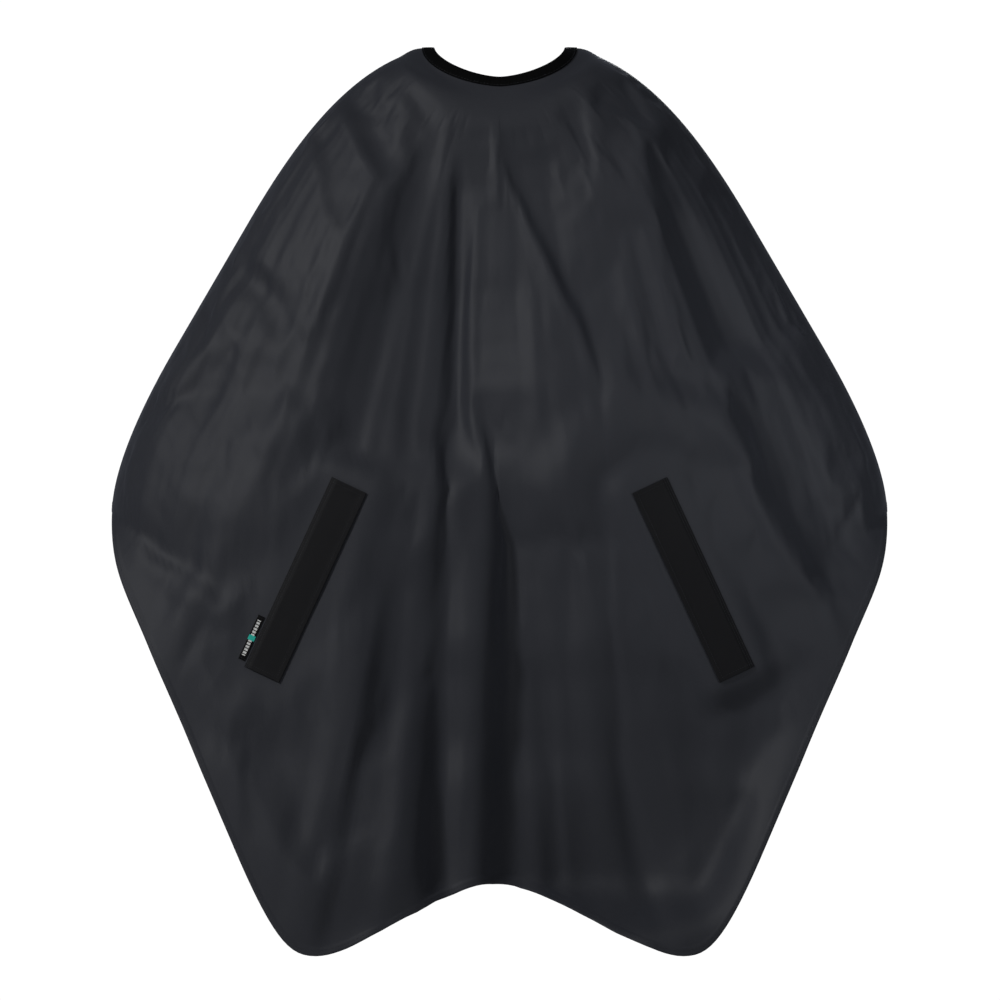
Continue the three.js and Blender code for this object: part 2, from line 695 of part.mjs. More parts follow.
export default cape;
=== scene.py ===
"""Barber cape with a bound neck, a snap closure at the nape and two covered hand slits.

The shapes are worked out in millimetres, as the cape is cut and sewn, and become metres in the meshes.
"left" is the -X side and "right" the +X side, and the front of the cape looks towards -Y.
"""

import math

import bpy
import numpy as np
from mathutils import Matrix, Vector, noise


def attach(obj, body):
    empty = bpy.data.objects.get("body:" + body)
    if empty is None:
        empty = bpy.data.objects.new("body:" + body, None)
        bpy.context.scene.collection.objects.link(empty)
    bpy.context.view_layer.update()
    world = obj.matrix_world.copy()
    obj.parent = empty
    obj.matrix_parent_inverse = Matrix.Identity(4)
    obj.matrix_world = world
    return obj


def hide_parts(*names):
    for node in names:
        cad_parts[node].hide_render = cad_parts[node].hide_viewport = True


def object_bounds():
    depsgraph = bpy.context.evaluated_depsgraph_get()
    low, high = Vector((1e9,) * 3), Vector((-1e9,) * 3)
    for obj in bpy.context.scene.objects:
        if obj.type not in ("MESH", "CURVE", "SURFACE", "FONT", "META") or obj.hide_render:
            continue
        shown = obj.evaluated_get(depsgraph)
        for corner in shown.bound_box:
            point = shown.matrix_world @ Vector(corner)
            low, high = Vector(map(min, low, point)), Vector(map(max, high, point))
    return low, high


bl_info = {
    "name": "Barber Cape",
    "version": (1, 0, 0),
    "blender": (4, 5, 0),
    "location": "View3D > Sidebar > Barber Cape",
    "description": "Makes the cloth, binding, flaps, label, stitches and snaps of a barber cape",
    "category": "Object",
}

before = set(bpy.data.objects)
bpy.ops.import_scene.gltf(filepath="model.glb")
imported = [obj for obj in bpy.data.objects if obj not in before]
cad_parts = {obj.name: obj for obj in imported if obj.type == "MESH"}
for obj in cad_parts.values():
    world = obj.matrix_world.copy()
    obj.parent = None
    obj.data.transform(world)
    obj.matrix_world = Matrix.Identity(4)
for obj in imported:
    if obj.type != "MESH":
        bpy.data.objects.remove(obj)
CAD_LOW, CAD_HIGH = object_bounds()
MM = 0.001
SIDES = ((-1, "left"), (1, "right"))

# ---- The cut of the cape, in millimetres and degrees ----------------------------------------------

NECK_HALF_WIDTH = 82.5
NECK_HALF_DEPTH = 62.0
NECK_FRONT_DIP = 38.0
NECK_BACK_DIP = 42.0
NECK_FRONT_ROUNDNESS = 1.6
NECK_BACK_ROUNDNESS = 2.6
NAPE_FLAT = 0.5
NAPE_REACH = 100.0
COLLAR_SQUARE = 10.0
COLLAR_BEND = 35.0
COLLAR_STRIP = 16.0

COLLAR_X = 90.6
SHOULDER = (316.9, -222.5)
ELBOW = (408.1, -378.8)
HAND = (485.6, -581.3)
COLLAR_SLOPE = -12.2
ARM_SLOPE = -59.9
FLANK_TOP = (HAND[0] - 50.0, HAND[1] - 172.5)
LOBE = (228.1, -1133.1)
FLANK_FOOT = (LOBE[0] + 100.0, LOBE[1] + 129.4)
FLANK_SLOPE = -113.3
FRONT_HEM_Z = -1041.3
BACK_CORNER = (350.0, -748.0)
BACK_HEM_Z = -415.0
BACK_GAP_ANGLE = 6.5
DOWN = -90.0
INWARD = -180.0

# How far each curve of the outline keeps to the direction of its start and of its end
SHOULDER_PULLS = (100.0, 115.0)
ARM_PULLS = (125.0, 32.0)
HAND_PULLS = (72.0, 89.0)
LOBE_PULLS = (129.0, 29.0)
FRONT_HEM_PULLS = (55.0, 77.0)
BACK_SIDE_PULLS = (60.0, 90.0)
BACK_HEM_PULLS = (130.0, 120.0)

CHEST_FULLNESS = 118.0
CHEST_REACH = 150.0
FRONT_FLARE = 0.022
BACK_FULLNESS = 60.0
BACK_REACH = 120.0
BACK_FLARE = 0.03

BAND_HEIGHT = 13.0
SNAP_CLOSURE_HEIGHT = 7.2

SLIT_CENTRE = (240.9, -665.8)
SLIT_TILT = 24.8
SLIT_LENGTH = 225.0
SLIT_WIDTH = 16.0
SLIT_SHIFT = 2.0
FLAP_LENGTH = 260.0
FLAP_WIDTH = 49.0
FLAP_SEAM = 8.0
FLAT_MARGIN = 80.0
FLAT_FADE = 60.0
FACING_LENGTH = 255.0
FACING_WIDTH = 40.0
LABEL_LENGTH = 60.0
LABEL_WIDTH = 9.0
LABEL_GAP = 2.5
LABEL_DOWN = 94.0

# Each fold line is where the draped cloth steps outwards (slope above 0) or falls back, going from left to
# right. Its points run down it: x and z seen from the front, the half width of the step and its slope.
FOLD_LINES = {
    "centre_left_valley_fall": (
        (-56, -150, 5, -0.75), (-62, -260, 6, -0.85), (-66, -356, 7, -0.85), (-69, -451, 8.8, -0.75),
        (-74, -579, 10.4, -0.7), (-80, -707, 12, -0.6), (-97, -1057, 14.3, -0.55),
    ),
    "centre_left_valley_rise": (
        (-45, -155, 7.2, 0.3), (-44, -260, 9.6, 0.42), (-44, -356, 10.4, 0.42), (-43, -451, 10.4, 0.4),
        (-54, -603, 8, 0.36), (-57, -738, 8.8, 0.36), (-57, -1049, 9.6, 0.4),
    ),
    "lap_fall": (
        (-26, -443, 4, -0.3), (-11, -547, 9.6, -0.6), (-3, -619, 15.9, -0.95), (-3, -738, 17.5, -1),
        (-5, -898, 19.1, -0.98), (-6, -1057, 19.1, -0.9),
    ),
    "lap_fall_top": ((-36, -276, 6.4, -0.1), (-33, -388, 7.2, -0.16), (-28, -499, 8, -0.12)),
    "lap_rise": ((23, -284, 7.2, 0.16), (34, -451, 8, 0.2), (31, -579, 8, 0.2), (28, -722, 9.6, 0.1)),
    "chest_crease_fall": (
        (2, -129, 7.5, -0.34), (37, -204, 8.5, -0.42), (77, -284, 9.5, -0.46), (107, -344, 9, -0.46),
        (127, -412, 6, -0.24),
    ),
    "chest_crease_rise": (
        (11, -168, 6.4, 0.18), (49, -256, 6.4, 0.24), (81, -324, 6.4, 0.22), (111, -408, 6.4, 0.14),
    ),
    "right_lap_rise": (
        (128, -412, 4, 0.18), (143, -579, 4.8, 0.26), (151, -738, 4.8, 0.28), (161, -882, 6.4, 0.3),
        (205, -1081, 7.2, 0.34),
    ),
    "right_lap_fall": (
        (117, -412, 8, -0.06), (125, -579, 9.6, -0.12), (133, -738, 10.4, -0.2), (143, -882, 12.8, -0.26),
        (177, -1081, 14.3, -0.32),
    ),
    "shoulder_right_fall": (
        (182, -113, 8, -0.25), (222, -244, 14.3, -0.4), (262, -340, 19.1, -0.42), (304, -451, 17.5, -0.4),
        (348, -563, 15.9, -0.34), (412, -683, 14.3, -0.24),
    ),
    "shoulder_right_rise": (
        (155, -113, 12.8, 0.22), (181, -228, 12.8, 0.24), (217, -340, 8, 0.26), (254, -436, 7.2, 0.28),
        (292, -531, 8, 0.24), (360, -659, 8, 0.16),
    ),
    "arm_right_rise": ((241, -204, 11.2, 0.2), (284, -284, 12.8, 0.22), (344, -388, 12.8, 0.14)),
    "arm_right_fall": ((268, -141, 9.6, -0.16), (316, -236, 11.2, -0.22), (372, -340, 11.2, -0.16)),
    "elbow_right_rise": ((390, -436, 9.6, 0.24), (412, -531, 11.2, 0.34), (452, -643, 9.6, 0.2)),
    "waist_right_rise": ((344, -619, 6.4, 0.1), (388, -683, 6.4, 0.16), (432, -746, 6.4, 0.1)),
    "chest_left_rise": (
        (-74, -118, 7.2, 0.22), (-102, -216, 8.8, 0.22), (-124, -300, 8.8, 0.2), (-148, -392, 9.6, 0.2),
        (-184, -533, 9.6, 0.16),
    ),
    "chest_left_fall": (
        (-107, -118, 14, -0.26), (-146, -216, 20, -0.3), (-176, -316, 24, -0.33), (-200, -412, 24, -0.33),
        (-229, -527, 22, -0.24),
    ),
    "chest_left_broad_fall": (
        (-95, -150, 22, -0.1), (-125, -300, 36, -0.14), (-145, -450, 42, -0.17), (-165, -600, 44, -0.16),
        (-160, -760, 42, -0.13), (-150, -900, 36, -0.06),
    ),
    "chest_right_broad_rise": (
        (85, -110, 28, 0.1), (115, -200, 38, 0.14), (140, -300, 40, 0.12), (150, -400, 32, 0.05),
    ),
    "low_left_broad_fall": (
        (-110, -760, 45, -0.08), (-115, -860, 55, -0.2), (-120, -1000, 60, -0.24), (-125, -1100, 60, -0.24),
    ),
    "low_right_broad_fall": (
        (90, -640, 45, -0.04), (95, -780, 55, -0.15), (95, -950, 60, -0.2), (100, -1080, 60, -0.2),
    ),
    "hem_right_fall": ((66, -860, 26, -0.05), (80, -980, 30, -0.16), (84, -1060, 30, -0.2)),
    "chest_left_second_rise": (
        (-76, -196, 4.8, 0.16), (-92, -300, 5.6, 0.18), (-105, -420, 6.4, 0.18), (-114, -547, 6.4, 0.1),
    ),
    "chest_left_second_fall": (
        (-85, -204, 5.6, -0.16), (-105, -300, 6.4, -0.18), (-121, -420, 6.4, -0.16),
        (-132, -547, 6.4, -0.08),
    ),
    "thigh_left_fall": (
        (-132, -643, 7.2, -0.2), (-149, -738, 8, -0.36), (-167, -834, 7.2, -0.55), (-190, -946, 7.2, -0.6),
        (-227, -1121, 8, -0.6),
    ),
    "thigh_left_rise": (
        (-202, -707, 8, 0.2), (-213, -810, 9.6, 0.24), (-229, -922, 9.6, 0.24), (-262, -1089, 9.6, 0.2),
    ),
    "thigh_left_inner_rise": (
        (-110, -659, 9.6, 0.08), (-124, -802, 11.2, 0.16), (-136, -938, 12.8, 0.24),
        (-154, -1089, 12.8, 0.26),
    ),
    "lap_right_fall": ((47, -770, 8, -0.1), (53, -898, 9.6, -0.22), (63, -1057, 9.6, -0.3)),
    "lap_right_rise": ((71, -770, 5.6, 0.1), (76, -898, 5.6, 0.2), (84, -1057, 6.4, 0.28)),
    "lap_far_right_rise": ((93, -643, 9.6, 0.12), (97, -738, 11.2, 0.16), (113, -898, 11.2, 0.14)),
    "hip_right_fall": ((222, -778, 9.6, -0.14), (253, -1089, 11.2, -0.18)),
    "hip_right_rise": ((261, -778, 9.6, 0.12), (292, -1057, 11.2, 0.16)),
    "shoulder_left_fall": ((-200, -53, 8.8, -0.6), (-178, -105, 10.4, -0.7), (-146, -164, 8.8, -0.25)),
    "shoulder_left_rise": ((-158, -45, 7.2, 0.16), (-146, -89, 8, 0.14), (-121, -141, 7.2, 0.08)),
    "arm_left_crease_1": ((-229, -98, 7.2, -0.25), (-222, -149, 8, -0.35), (-214, -208, 7.2, -0.2)),
    "arm_left_crease_2": ((-339, -270, 8.5, -0.2), (-305, -316, 10, -0.3), (-269, -388, 9, -0.18)),
    "arm_left_crease_3": ((-307, -264, 8.5, 0.22), (-280, -304, 9.5, 0.28), (-250, -364, 8.5, 0.16)),
    "arm_left_crease_4": ((-361, -376, 6.4, -0.22), (-393, -428, 7.2, -0.35), (-435, -459, 6.4, -0.15)),
    "arm_left_crease_5": ((-290, -388, 8, -0.15), (-250, -451, 8, -0.25), (-242, -515, 8, -0.15)),
    "elbow_left_tension": (
        (-473, -591, 6.4, -0.3), (-437, -635, 7.2, -0.38), (-385, -663, 7.2, -0.32),
        (-313, -719, 6.4, -0.2),
    ),
    "elbow_left_tension_low": ((-461, -643, 6.4, 0.14), (-409, -687, 7.2, 0.22), (-337, -730, 6.4, 0.14)),
    "thigh_left_outer": ((-305, -802, 8, -0.16), (-317, -898, 9.6, -0.22), (-317, -1002, 8, -0.12)),
    "neck_left_1": ((-122, -21, 4.8, 0.22), (-102, -53, 5.6, 0.26), (-74, -85, 4.8, 0.12)),
    "neck_left_2": ((-136, -31, 4.8, -0.22), (-114, -65, 5.6, -0.24), (-89, -101, 4.8, -0.12)),
    "neck_right_1": ((68, -57, 4, -0.2), (85, -93, 4.8, -0.26), (113, -137, 4, -0.14)),
    "neck_right_2": ((85, -49, 4, 0.16), (105, -85, 4.8, 0.22), (133, -125, 4, 0.12)),
    "neck_right_3": ((97, -37, 4, -0.16), (121, -61, 4.8, -0.22), (161, -93, 4, -0.12)),
    "neck_front": ((0, -54, 2.4, -0.14), (0, -89, 2.4, -0.14), (1, -125, 2.4, -0.06)),
}
FOLD_FADE = 55.0           # a fold line runs in and out over this length
FOLD_RETURN = 55.0         # and its step is given back over about this width
FOLD_RETURN_WIDTHS = 5.0
FOLD_STRENGTH = 1.45
FOLD_SINK = 0.6            # folds sink into the cape more than they stand out of it
FOLD_MOST = 11.0           # and stand out no further than this

# Ripples of the two back halves: how many across a half, their phase and their height
BACK_RIPPLES = [(2.1, 0.4, 9.0), (3.7, 1.9, 6.0), (6.3, 0.9, 2.6)]
BACK_GROW = (90.0, 420.0)  # they start at this radius and grow over the next length
BACK_START = (96.0, 25.0)  # and likewise from this column on

# Faint streaks: waves for a radian round the neck and for a metre down, seed and height
STREAKS = [(11.0, 1.7, 3.3, 2.6), (21.0, 2.6, 6.1, 1.2)]
STREAK_FADE = (110.0, 260.0)

# Patches of crumpled cloth: centre x, z, half width, half height and strength
CRUMPLES = [
    (-330.0, -400.0, 150.0, 260.0, 1.0),
    (-400.0, -700.0, 110.0, 130.0, 0.9),
    (-300.0, -880.0, 120.0, 130.0, 0.55),
    (-190.0, -110.0, 90.0, 90.0, 0.75),
    (110.0, -110.0, 120.0, 90.0, 0.55),
    (430.0, -560.0, 80.0, 120.0, 0.8),
]
CRUMPLE_LEAST = 0.16       # strength away from the patches
CRUMPLE_SHARP = 2.2
CRUMPLE_BEND = (7.0, 4.1, 0.05)      # how the creases wander: waves for a metre, seed and reach in metres
# Waves for a metre across and down, seed and height of the swells, the creases and the finest creases
CRUMPLE_BROAD = (9.0, 7.0, 1.7, 5.0)
CRUMPLE_CREASE = (17.0, 13.0, 8.3, 2.2)
CRUMPLE_FINE = (34.0, 29.0, 2.9, 0.9)


def smooth(x):
    t = np.clip(x, 0.0, 1.0)
    return t * t * (3.0 - 2.0 * t)


def unit(v):
    return v / np.maximum(np.linalg.norm(v, axis=-1, keepdims=True), 1e-12)


def heading(degrees):
    return np.array([math.cos(math.radians(degrees)), math.sin(math.radians(degrees))])


def bezier(start, leave, end, arrive, pulls, steps=240):
    """Points of a cubic curve that leaves start and arrives at end in the given directions, in degrees."""
    t = np.linspace(0.0, 1.0, steps + 1)[:, None]
    a, d = np.array(start, float), np.array(end, float)
    b, c = a + pulls[0] * heading(leave), d - pulls[1] * heading(arrive)
    return (1 - t) ** 3 * a + 3 * (1 - t) ** 2 * t * b + 3 * (1 - t) * t ** 2 * c + t ** 3 * d


def run_along(points):
    """Distance from the first of a line of points to each of them, along the line."""
    return np.concatenate([[0.0], np.cumsum(np.linalg.norm(np.diff(points, axis=0), axis=1))])


def straight(start, end, steps=60):
    return np.linspace(start, end, steps + 1)


def polar(*curves):
    points = np.concatenate(curves)
    return np.hypot(points[:, 0], points[:, 1]), np.degrees(np.arctan2(points[:, 0], -points[:, 1]))


ARM_RADIUS, ARM_ANGLE = polar(
    bezier((COLLAR_X, 0.0), COLLAR_SLOPE, SHOULDER, ARM_SLOPE, SHOULDER_PULLS),
    straight(SHOULDER, ELBOW),
    bezier(ELBOW, ARM_SLOPE, HAND, DOWN, ARM_PULLS),
)
FRONT_HEM = polar(
    bezier(HAND, DOWN, FLANK_TOP, FLANK_SLOPE, HAND_PULLS),
    straight(FLANK_TOP, FLANK_FOOT),
    bezier(FLANK_FOOT, FLANK_SLOPE, LOBE, INWARD, LOBE_PULLS),
    bezier(LOBE, INWARD, (0.0, FRONT_HEM_Z), INWARD, FRONT_HEM_PULLS),
)
BACK_HEM = polar(
    bezier(HAND, DOWN, BACK_CORNER, INWARD, BACK_SIDE_PULLS),
    bezier(BACK_CORNER, INWARD, (0.0, BACK_HEM_Z), INWARD, BACK_HEM_PULLS),
)


# ---- The draped surface ---------------------------------------------------------------------------
# A column is an angle from 0 (front centre) through 90 (arm line) to 180 (back opening) on the left
# (side -1) or right (side 1), and the radius runs down the column from the neckline to the hem.


def column_angle(column, radius):
    arm = np.where(radius <= ARM_RADIUS[0], 90.0, np.interp(radius, ARM_RADIUS, ARM_ANGLE))
    start = np.where(column > 90.0, BACK_GAP_ANGLE, 0.0)
    return start + (arm - start) * np.sin(np.radians(column))


def neck_dip(column):
    back = column > 90.0
    power = np.where(back, NECK_BACK_ROUNDNESS, NECK_FRONT_ROUNDNESS)
    return np.where(back, NECK_BACK_DIP, NECK_FRONT_DIP), power


def neckline_radius(column):
    dip, power = neck_dip(column)
    angle = np.radians(column_angle(column, np.zeros_like(column)))
    across = (np.abs(np.sin(angle)) / NECK_HALF_WIDTH) ** power
    down = (np.abs(np.cos(angle)) / dip) ** power
    return (across + down) ** (-1.0 / power)


def hem_radius(column):
    result = np.zeros_like(column)
    for back, (radii, angles) in ((False, FRONT_HEM), (True, BACK_HEM)):
        order = np.argsort(angles)
        low, high = np.zeros_like(column), np.full_like(column, radii.max() + 1.0)
        for _ in range(40):
            middle = (low + high) / 2.0
            inside = np.interp(column_angle(column, middle), angles[order], radii[order]) > middle
            low, high = np.where(inside, middle, low), np.where(inside, high, middle)
        result = np.where((column > 90.0) == back, (low + high) / 2.0, result)
    return result


def polar_point(column, radius):
    angle = np.radians(column_angle(column, radius))
    return np.stack([radius * np.sin(angle), -radius * np.cos(angle)], axis=-1)


def depth_below(below, fullness, reach, flare):
    """How far the cape stands out from the neck's middle at a distance below the neckline."""
    return NECK_HALF_DEPTH + fullness * (1.0 - np.exp(-below / reach)) + flare * below


def draped_point(side, column, radius):
    start = neckline_radius(column)
    edge = polar_point(column, start)
    dip, power = neck_dip(column)
    across = np.maximum(0.0, edge[..., 0]) ** (power - 1.0) / NECK_HALF_WIDTH ** power
    down = np.maximum(0.0, -edge[..., 1]) ** (power - 1.0) / dip ** power
    square = unit(np.stack([across, -down], axis=-1))
    bend = smooth((radius - start - COLLAR_SQUARE) / COLLAR_BEND)[..., None]
    seen = (edge + square * (radius - start)[..., None]) * (1.0 - bend) + polar_point(column, radius) * bend
    x, z = seen[..., 0], seen[..., 1]
    chest = depth_below(radius - NECK_FRONT_DIP, CHEST_FULLNESS, CHEST_REACH, FRONT_FLARE)
    back = depth_below(-z - NECK_BACK_DIP, BACK_FULLNESS, BACK_REACH, BACK_FLARE)
    flat = NAPE_FLAT * np.exp(-(((radius - NECK_BACK_DIP) / NAPE_REACH) ** 2))
    share = np.maximum(0.0, (np.sin(np.radians(column)) - flat) / (1.0 - flat))
    behind = back * np.sqrt(np.maximum(0.0, 1.0 - share * share))
    y = np.where(column > 90.0, behind, -chest * np.cos(np.radians(column)))
    return np.stack([side * x, y, z], axis=-1)


def normal_of(point_at, side, column, radius, step=0.5):
    after, before = np.minimum(180.0, column + step), np.maximum(0.0, column - step)
    across = point_at(side, after, radius) - point_at(side, before, radius)
    down = point_at(side, column, radius + step) - point_at(side, column, radius - step)
    return unit(np.cross(across, down) * -side[..., None])


def slit_frame(side):
    """Flat frame of a hand slit: across points to the front centre, out away from the wearer."""
    radius = math.hypot(*SLIT_CENTRE)
    angle = math.degrees(math.atan2(SLIT_CENTRE[0], -SLIT_CENTRE[1]))
    arm = float(np.interp(radius, ARM_RADIUS, ARM_ANGLE))
    column = np.array([math.degrees(math.asin(angle / arm))])
    sides, radii = np.array([float(side)]), np.array([radius])
    origin = draped_point(sides, column, radii)[0]
    out = normal_of(draped_point, sides, column, radii)[0]
    lean = math.radians(SLIT_TILT)
    up = np.array([-side * math.sin(lean), 0.0, math.cos(lean)])
    up[1] = -(up[0] * out[0] + up[2] * out[2]) / out[1]
    up = unit(up)
    across = np.cross(up, out)
    across = unit(across * -side * np.sign(across[0]))
    along = np.cross(out, across)
    return {"origin": origin, "across": across, "along": along, "out": out, "up": float(np.sign(along @ up))}


SLITS = {-1: slit_frame(-1), 1: slit_frame(1)}


def beyond_flap(point, side):
    """How far a point lies outside its flap's rectangle, and how far it stands out of the flap's plane."""
    beyond, height = np.zeros(point.shape[:-1]), np.zeros(point.shape[:-1])
    for which, slit in SLITS.items():
        away = point - slit["origin"]
        over = np.maximum(0.0, np.abs(away @ slit["across"]) - FLAP_WIDTH / 2.0)
        past = np.maximum(0.0, np.abs(away @ slit["along"]) - FLAP_LENGTH / 2.0)
        beyond = np.where(side == which, np.hypot(over, past), beyond)
        height = np.where(side == which, away @ slit["out"], height)
    return beyond, height


def cloth_point(side, column, radius):
    point = draped_point(side, column, radius)
    beyond, height = beyond_flap(point, side)
    hold = np.where(column > 90.0, 0.0, 1.0 - smooth((beyond - FLAT_MARGIN) / FLAT_FADE))
    out = np.where((side < 0.0)[..., None], SLITS[-1]["out"], SLITS[1]["out"])
    return point - out * (hold * height)[..., None]


def collar_frame(side, column):
    start = neckline_radius(column)
    top = cloth_point(side, column, start)
    down = unit(cloth_point(side, column, start + COLLAR_STRIP) - top)
    normal = normal_of(cloth_point, side, column, start + COLLAR_STRIP / 2.0)
    out = unit(normal - down * np.sum(normal * down, axis=-1, keepdims=True))
    return top, down, out


def fold_height(x, z):
    """How far the folds carry the cloth outwards at x, z as seen from the front."""
    height = np.zeros_like(x)
    for points in FOLD_LINES.values():
        px, pz, width, slope = np.array(points, float)[::-1].T
        line = np.interp(z, pz, px)
        lean = np.gradient(px, pz)
        away = (x - line) / np.sqrt(1.0 + np.interp(z, pz, lean) ** 2)
        w, s = np.interp(z, pz, width), np.interp(z, pz, slope)
        reach = FOLD_RETURN + FOLD_RETURN_WIDTHS * w
        ends = smooth((pz[-1] + FOLD_FADE / 2.0 - z) / FOLD_FADE)
        ends = ends * smooth((z - pz[0] + FOLD_FADE / 2.0) / FOLD_FADE)
        step = np.tanh(away / w) - FOLD_SINK * np.sign(s)
        height += ends * s * w * step * np.exp(-((away / reach) ** 2))
    height *= FOLD_STRENGTH
    return np.where(height > 0.0, FOLD_MOST * np.tanh(height / FOLD_MOST), height)


def streak_height(side, column, radius):
    """Faint long creases that run down from the neck, as hanging cloth has between its deep folds."""
    angle = np.radians(column) * side
    flat = []
    for turn, run in zip(angle.ravel(), radius.ravel() * MM):
        flat.append(sum(noise.noise(Vector((turn * around, run * along, seed))) * high
                        for around, along, seed, high in STREAKS))
    return np.array(flat).reshape(column.shape) * smooth((radius - STREAK_FADE[0]) / STREAK_FADE[1])


def crumple_height(x, z):
    """Small soft creases, most of them where the cloth lies bunched on the arms."""
    share = np.full_like(x, CRUMPLE_LEAST)
    for cx, cz, half_x, half_z, strength in CRUMPLES:
        share = np.maximum(share, strength * np.exp(-(((x - cx) / half_x) ** 2) - ((z - cz) / half_z) ** 2))

    def wave(px, pz, across, down, seed):
        return noise.noise(Vector((px * across, pz * down, seed)))

    count, seed, reach = CRUMPLE_BEND
    flat = []
    for px, pz in zip(x.ravel() * MM, z.ravel() * MM):
        bent = wave(px, pz, count, count, seed) * reach
        broad = wave(px + bent, pz - bent, *CRUMPLE_BROAD[:3])
        crease = 1.0 - abs(wave(px - bent, pz + bent, *CRUMPLE_CREASE[:3])) * CRUMPLE_SHARP
        fine = 1.0 - abs(wave(px + bent, pz, *CRUMPLE_FINE[:3])) * CRUMPLE_SHARP
        flat.append(broad * CRUMPLE_BROAD[3] + crease * CRUMPLE_CREASE[3] + fine * CRUMPLE_FINE[3])
    return np.array(flat).reshape(x.shape) * share


def back_height(column, radius):
    turn = np.radians(column - 90.0)
    grow = smooth((radius - BACK_GROW[0]) / BACK_GROW[1]) * smooth((column - BACK_START[0]) / BACK_START[1])
    return grow * sum(high * np.sin(count * 2.0 * turn + phase) for count, phase, high in BACK_RIPPLES)


# ---- The cape as a fine grid of columns and rows --------------------------------------------------

FRONT_COLUMNS = 146
BACK_COLUMNS = 32
COLUMN_CROWDING = 1.28
ROWS = 108
ROW_GROWTH = 1.2
COLLAR_ROWS = (0.0, 3.5, 7.0, 10.5, 13.5)
HEM_ROWS = (10.6, 9.4, 6.5, 3.5, 1.0, 0.0)
HEM_STITCH_ROW = -4
HEM_FOLD = 10.2            # depth of the rolled hem
HEM_RISE = 0.42            # how far it stands out on each face
HEM_STEP = 1.2             # over this length
HEM_DENT = 0.14            # and how far its stitches pull it in
HEM_SIDE = 6.5             # the stitches of the back edges lie this far in
HEM_LIP = 0.35             # share of the cloth's thickness at the very edge
CLOTH = 1.0
BODY_MARGIN = 3.0
SHARP_ANGLE = 50.0
ON_TOP = 0.02              # a stitch lies this far over the cloth
ARM_FADE = 26.0            # degrees over which the folds die out towards the arm line
NECK_FADE = (20.0, 55.0)
FLAP_FADE = (4.0, 38.0)
FLANK_COLUMNS = (13.0, 9.0)
FLANK_FADE = 80.0          # beside the flank edges the cloth is pulled straight

# The simulated settling: spacing of its net, share of gravity, frames and furthest move
SETTLE_ROWS = 14.0
SETTLE_COLUMNS = 2
SETTLE_WEIGHT = 0.03
SETTLE_FRAMES = 22
SETTLE_CAP = 6.0
SETTLE_SLIDE = 0.25        # how much of the move along the cloth is kept
SETTLE_CLOTH = {
    "quality": 5, "mass": 0.15, "tension_stiffness": 12.0, "compression_stiffness": 12.0,
    "shear_stiffness": 4.0, "bending_stiffness": 0.3, "pin_stiffness": 1.0,
    "shrink_min": -0.006,  # the cloth is this share too large for its place
}
# Where it is held: from the neck, either side of the arm line and in from the back opening, and how it frees
SETTLE_NECK = (18.0, 60.0)
SETTLE_ARM = (1.5, 14.0)
SETTLE_BACK = (178.0, 30.0)


def column_list():
    back = 90.0 + 90.0 * np.arange(BACK_COLUMNS, 0, -1) / BACK_COLUMNS
    front = 90.0 * (np.arange(FRONT_COLUMNS, 0, -1) / FRONT_COLUMNS) ** COLUMN_CROWDING
    half = np.concatenate([back, front])
    sides = np.concatenate([-np.ones(len(half)), [1.0], np.ones(len(half))])
    return sides, np.concatenate([half, [0.0], half[::-1]])


def grid_normal(point):
    across = np.gradient(point, axis=0)
    down = np.gradient(point, axis=1)
    return unit(np.cross(down, across))


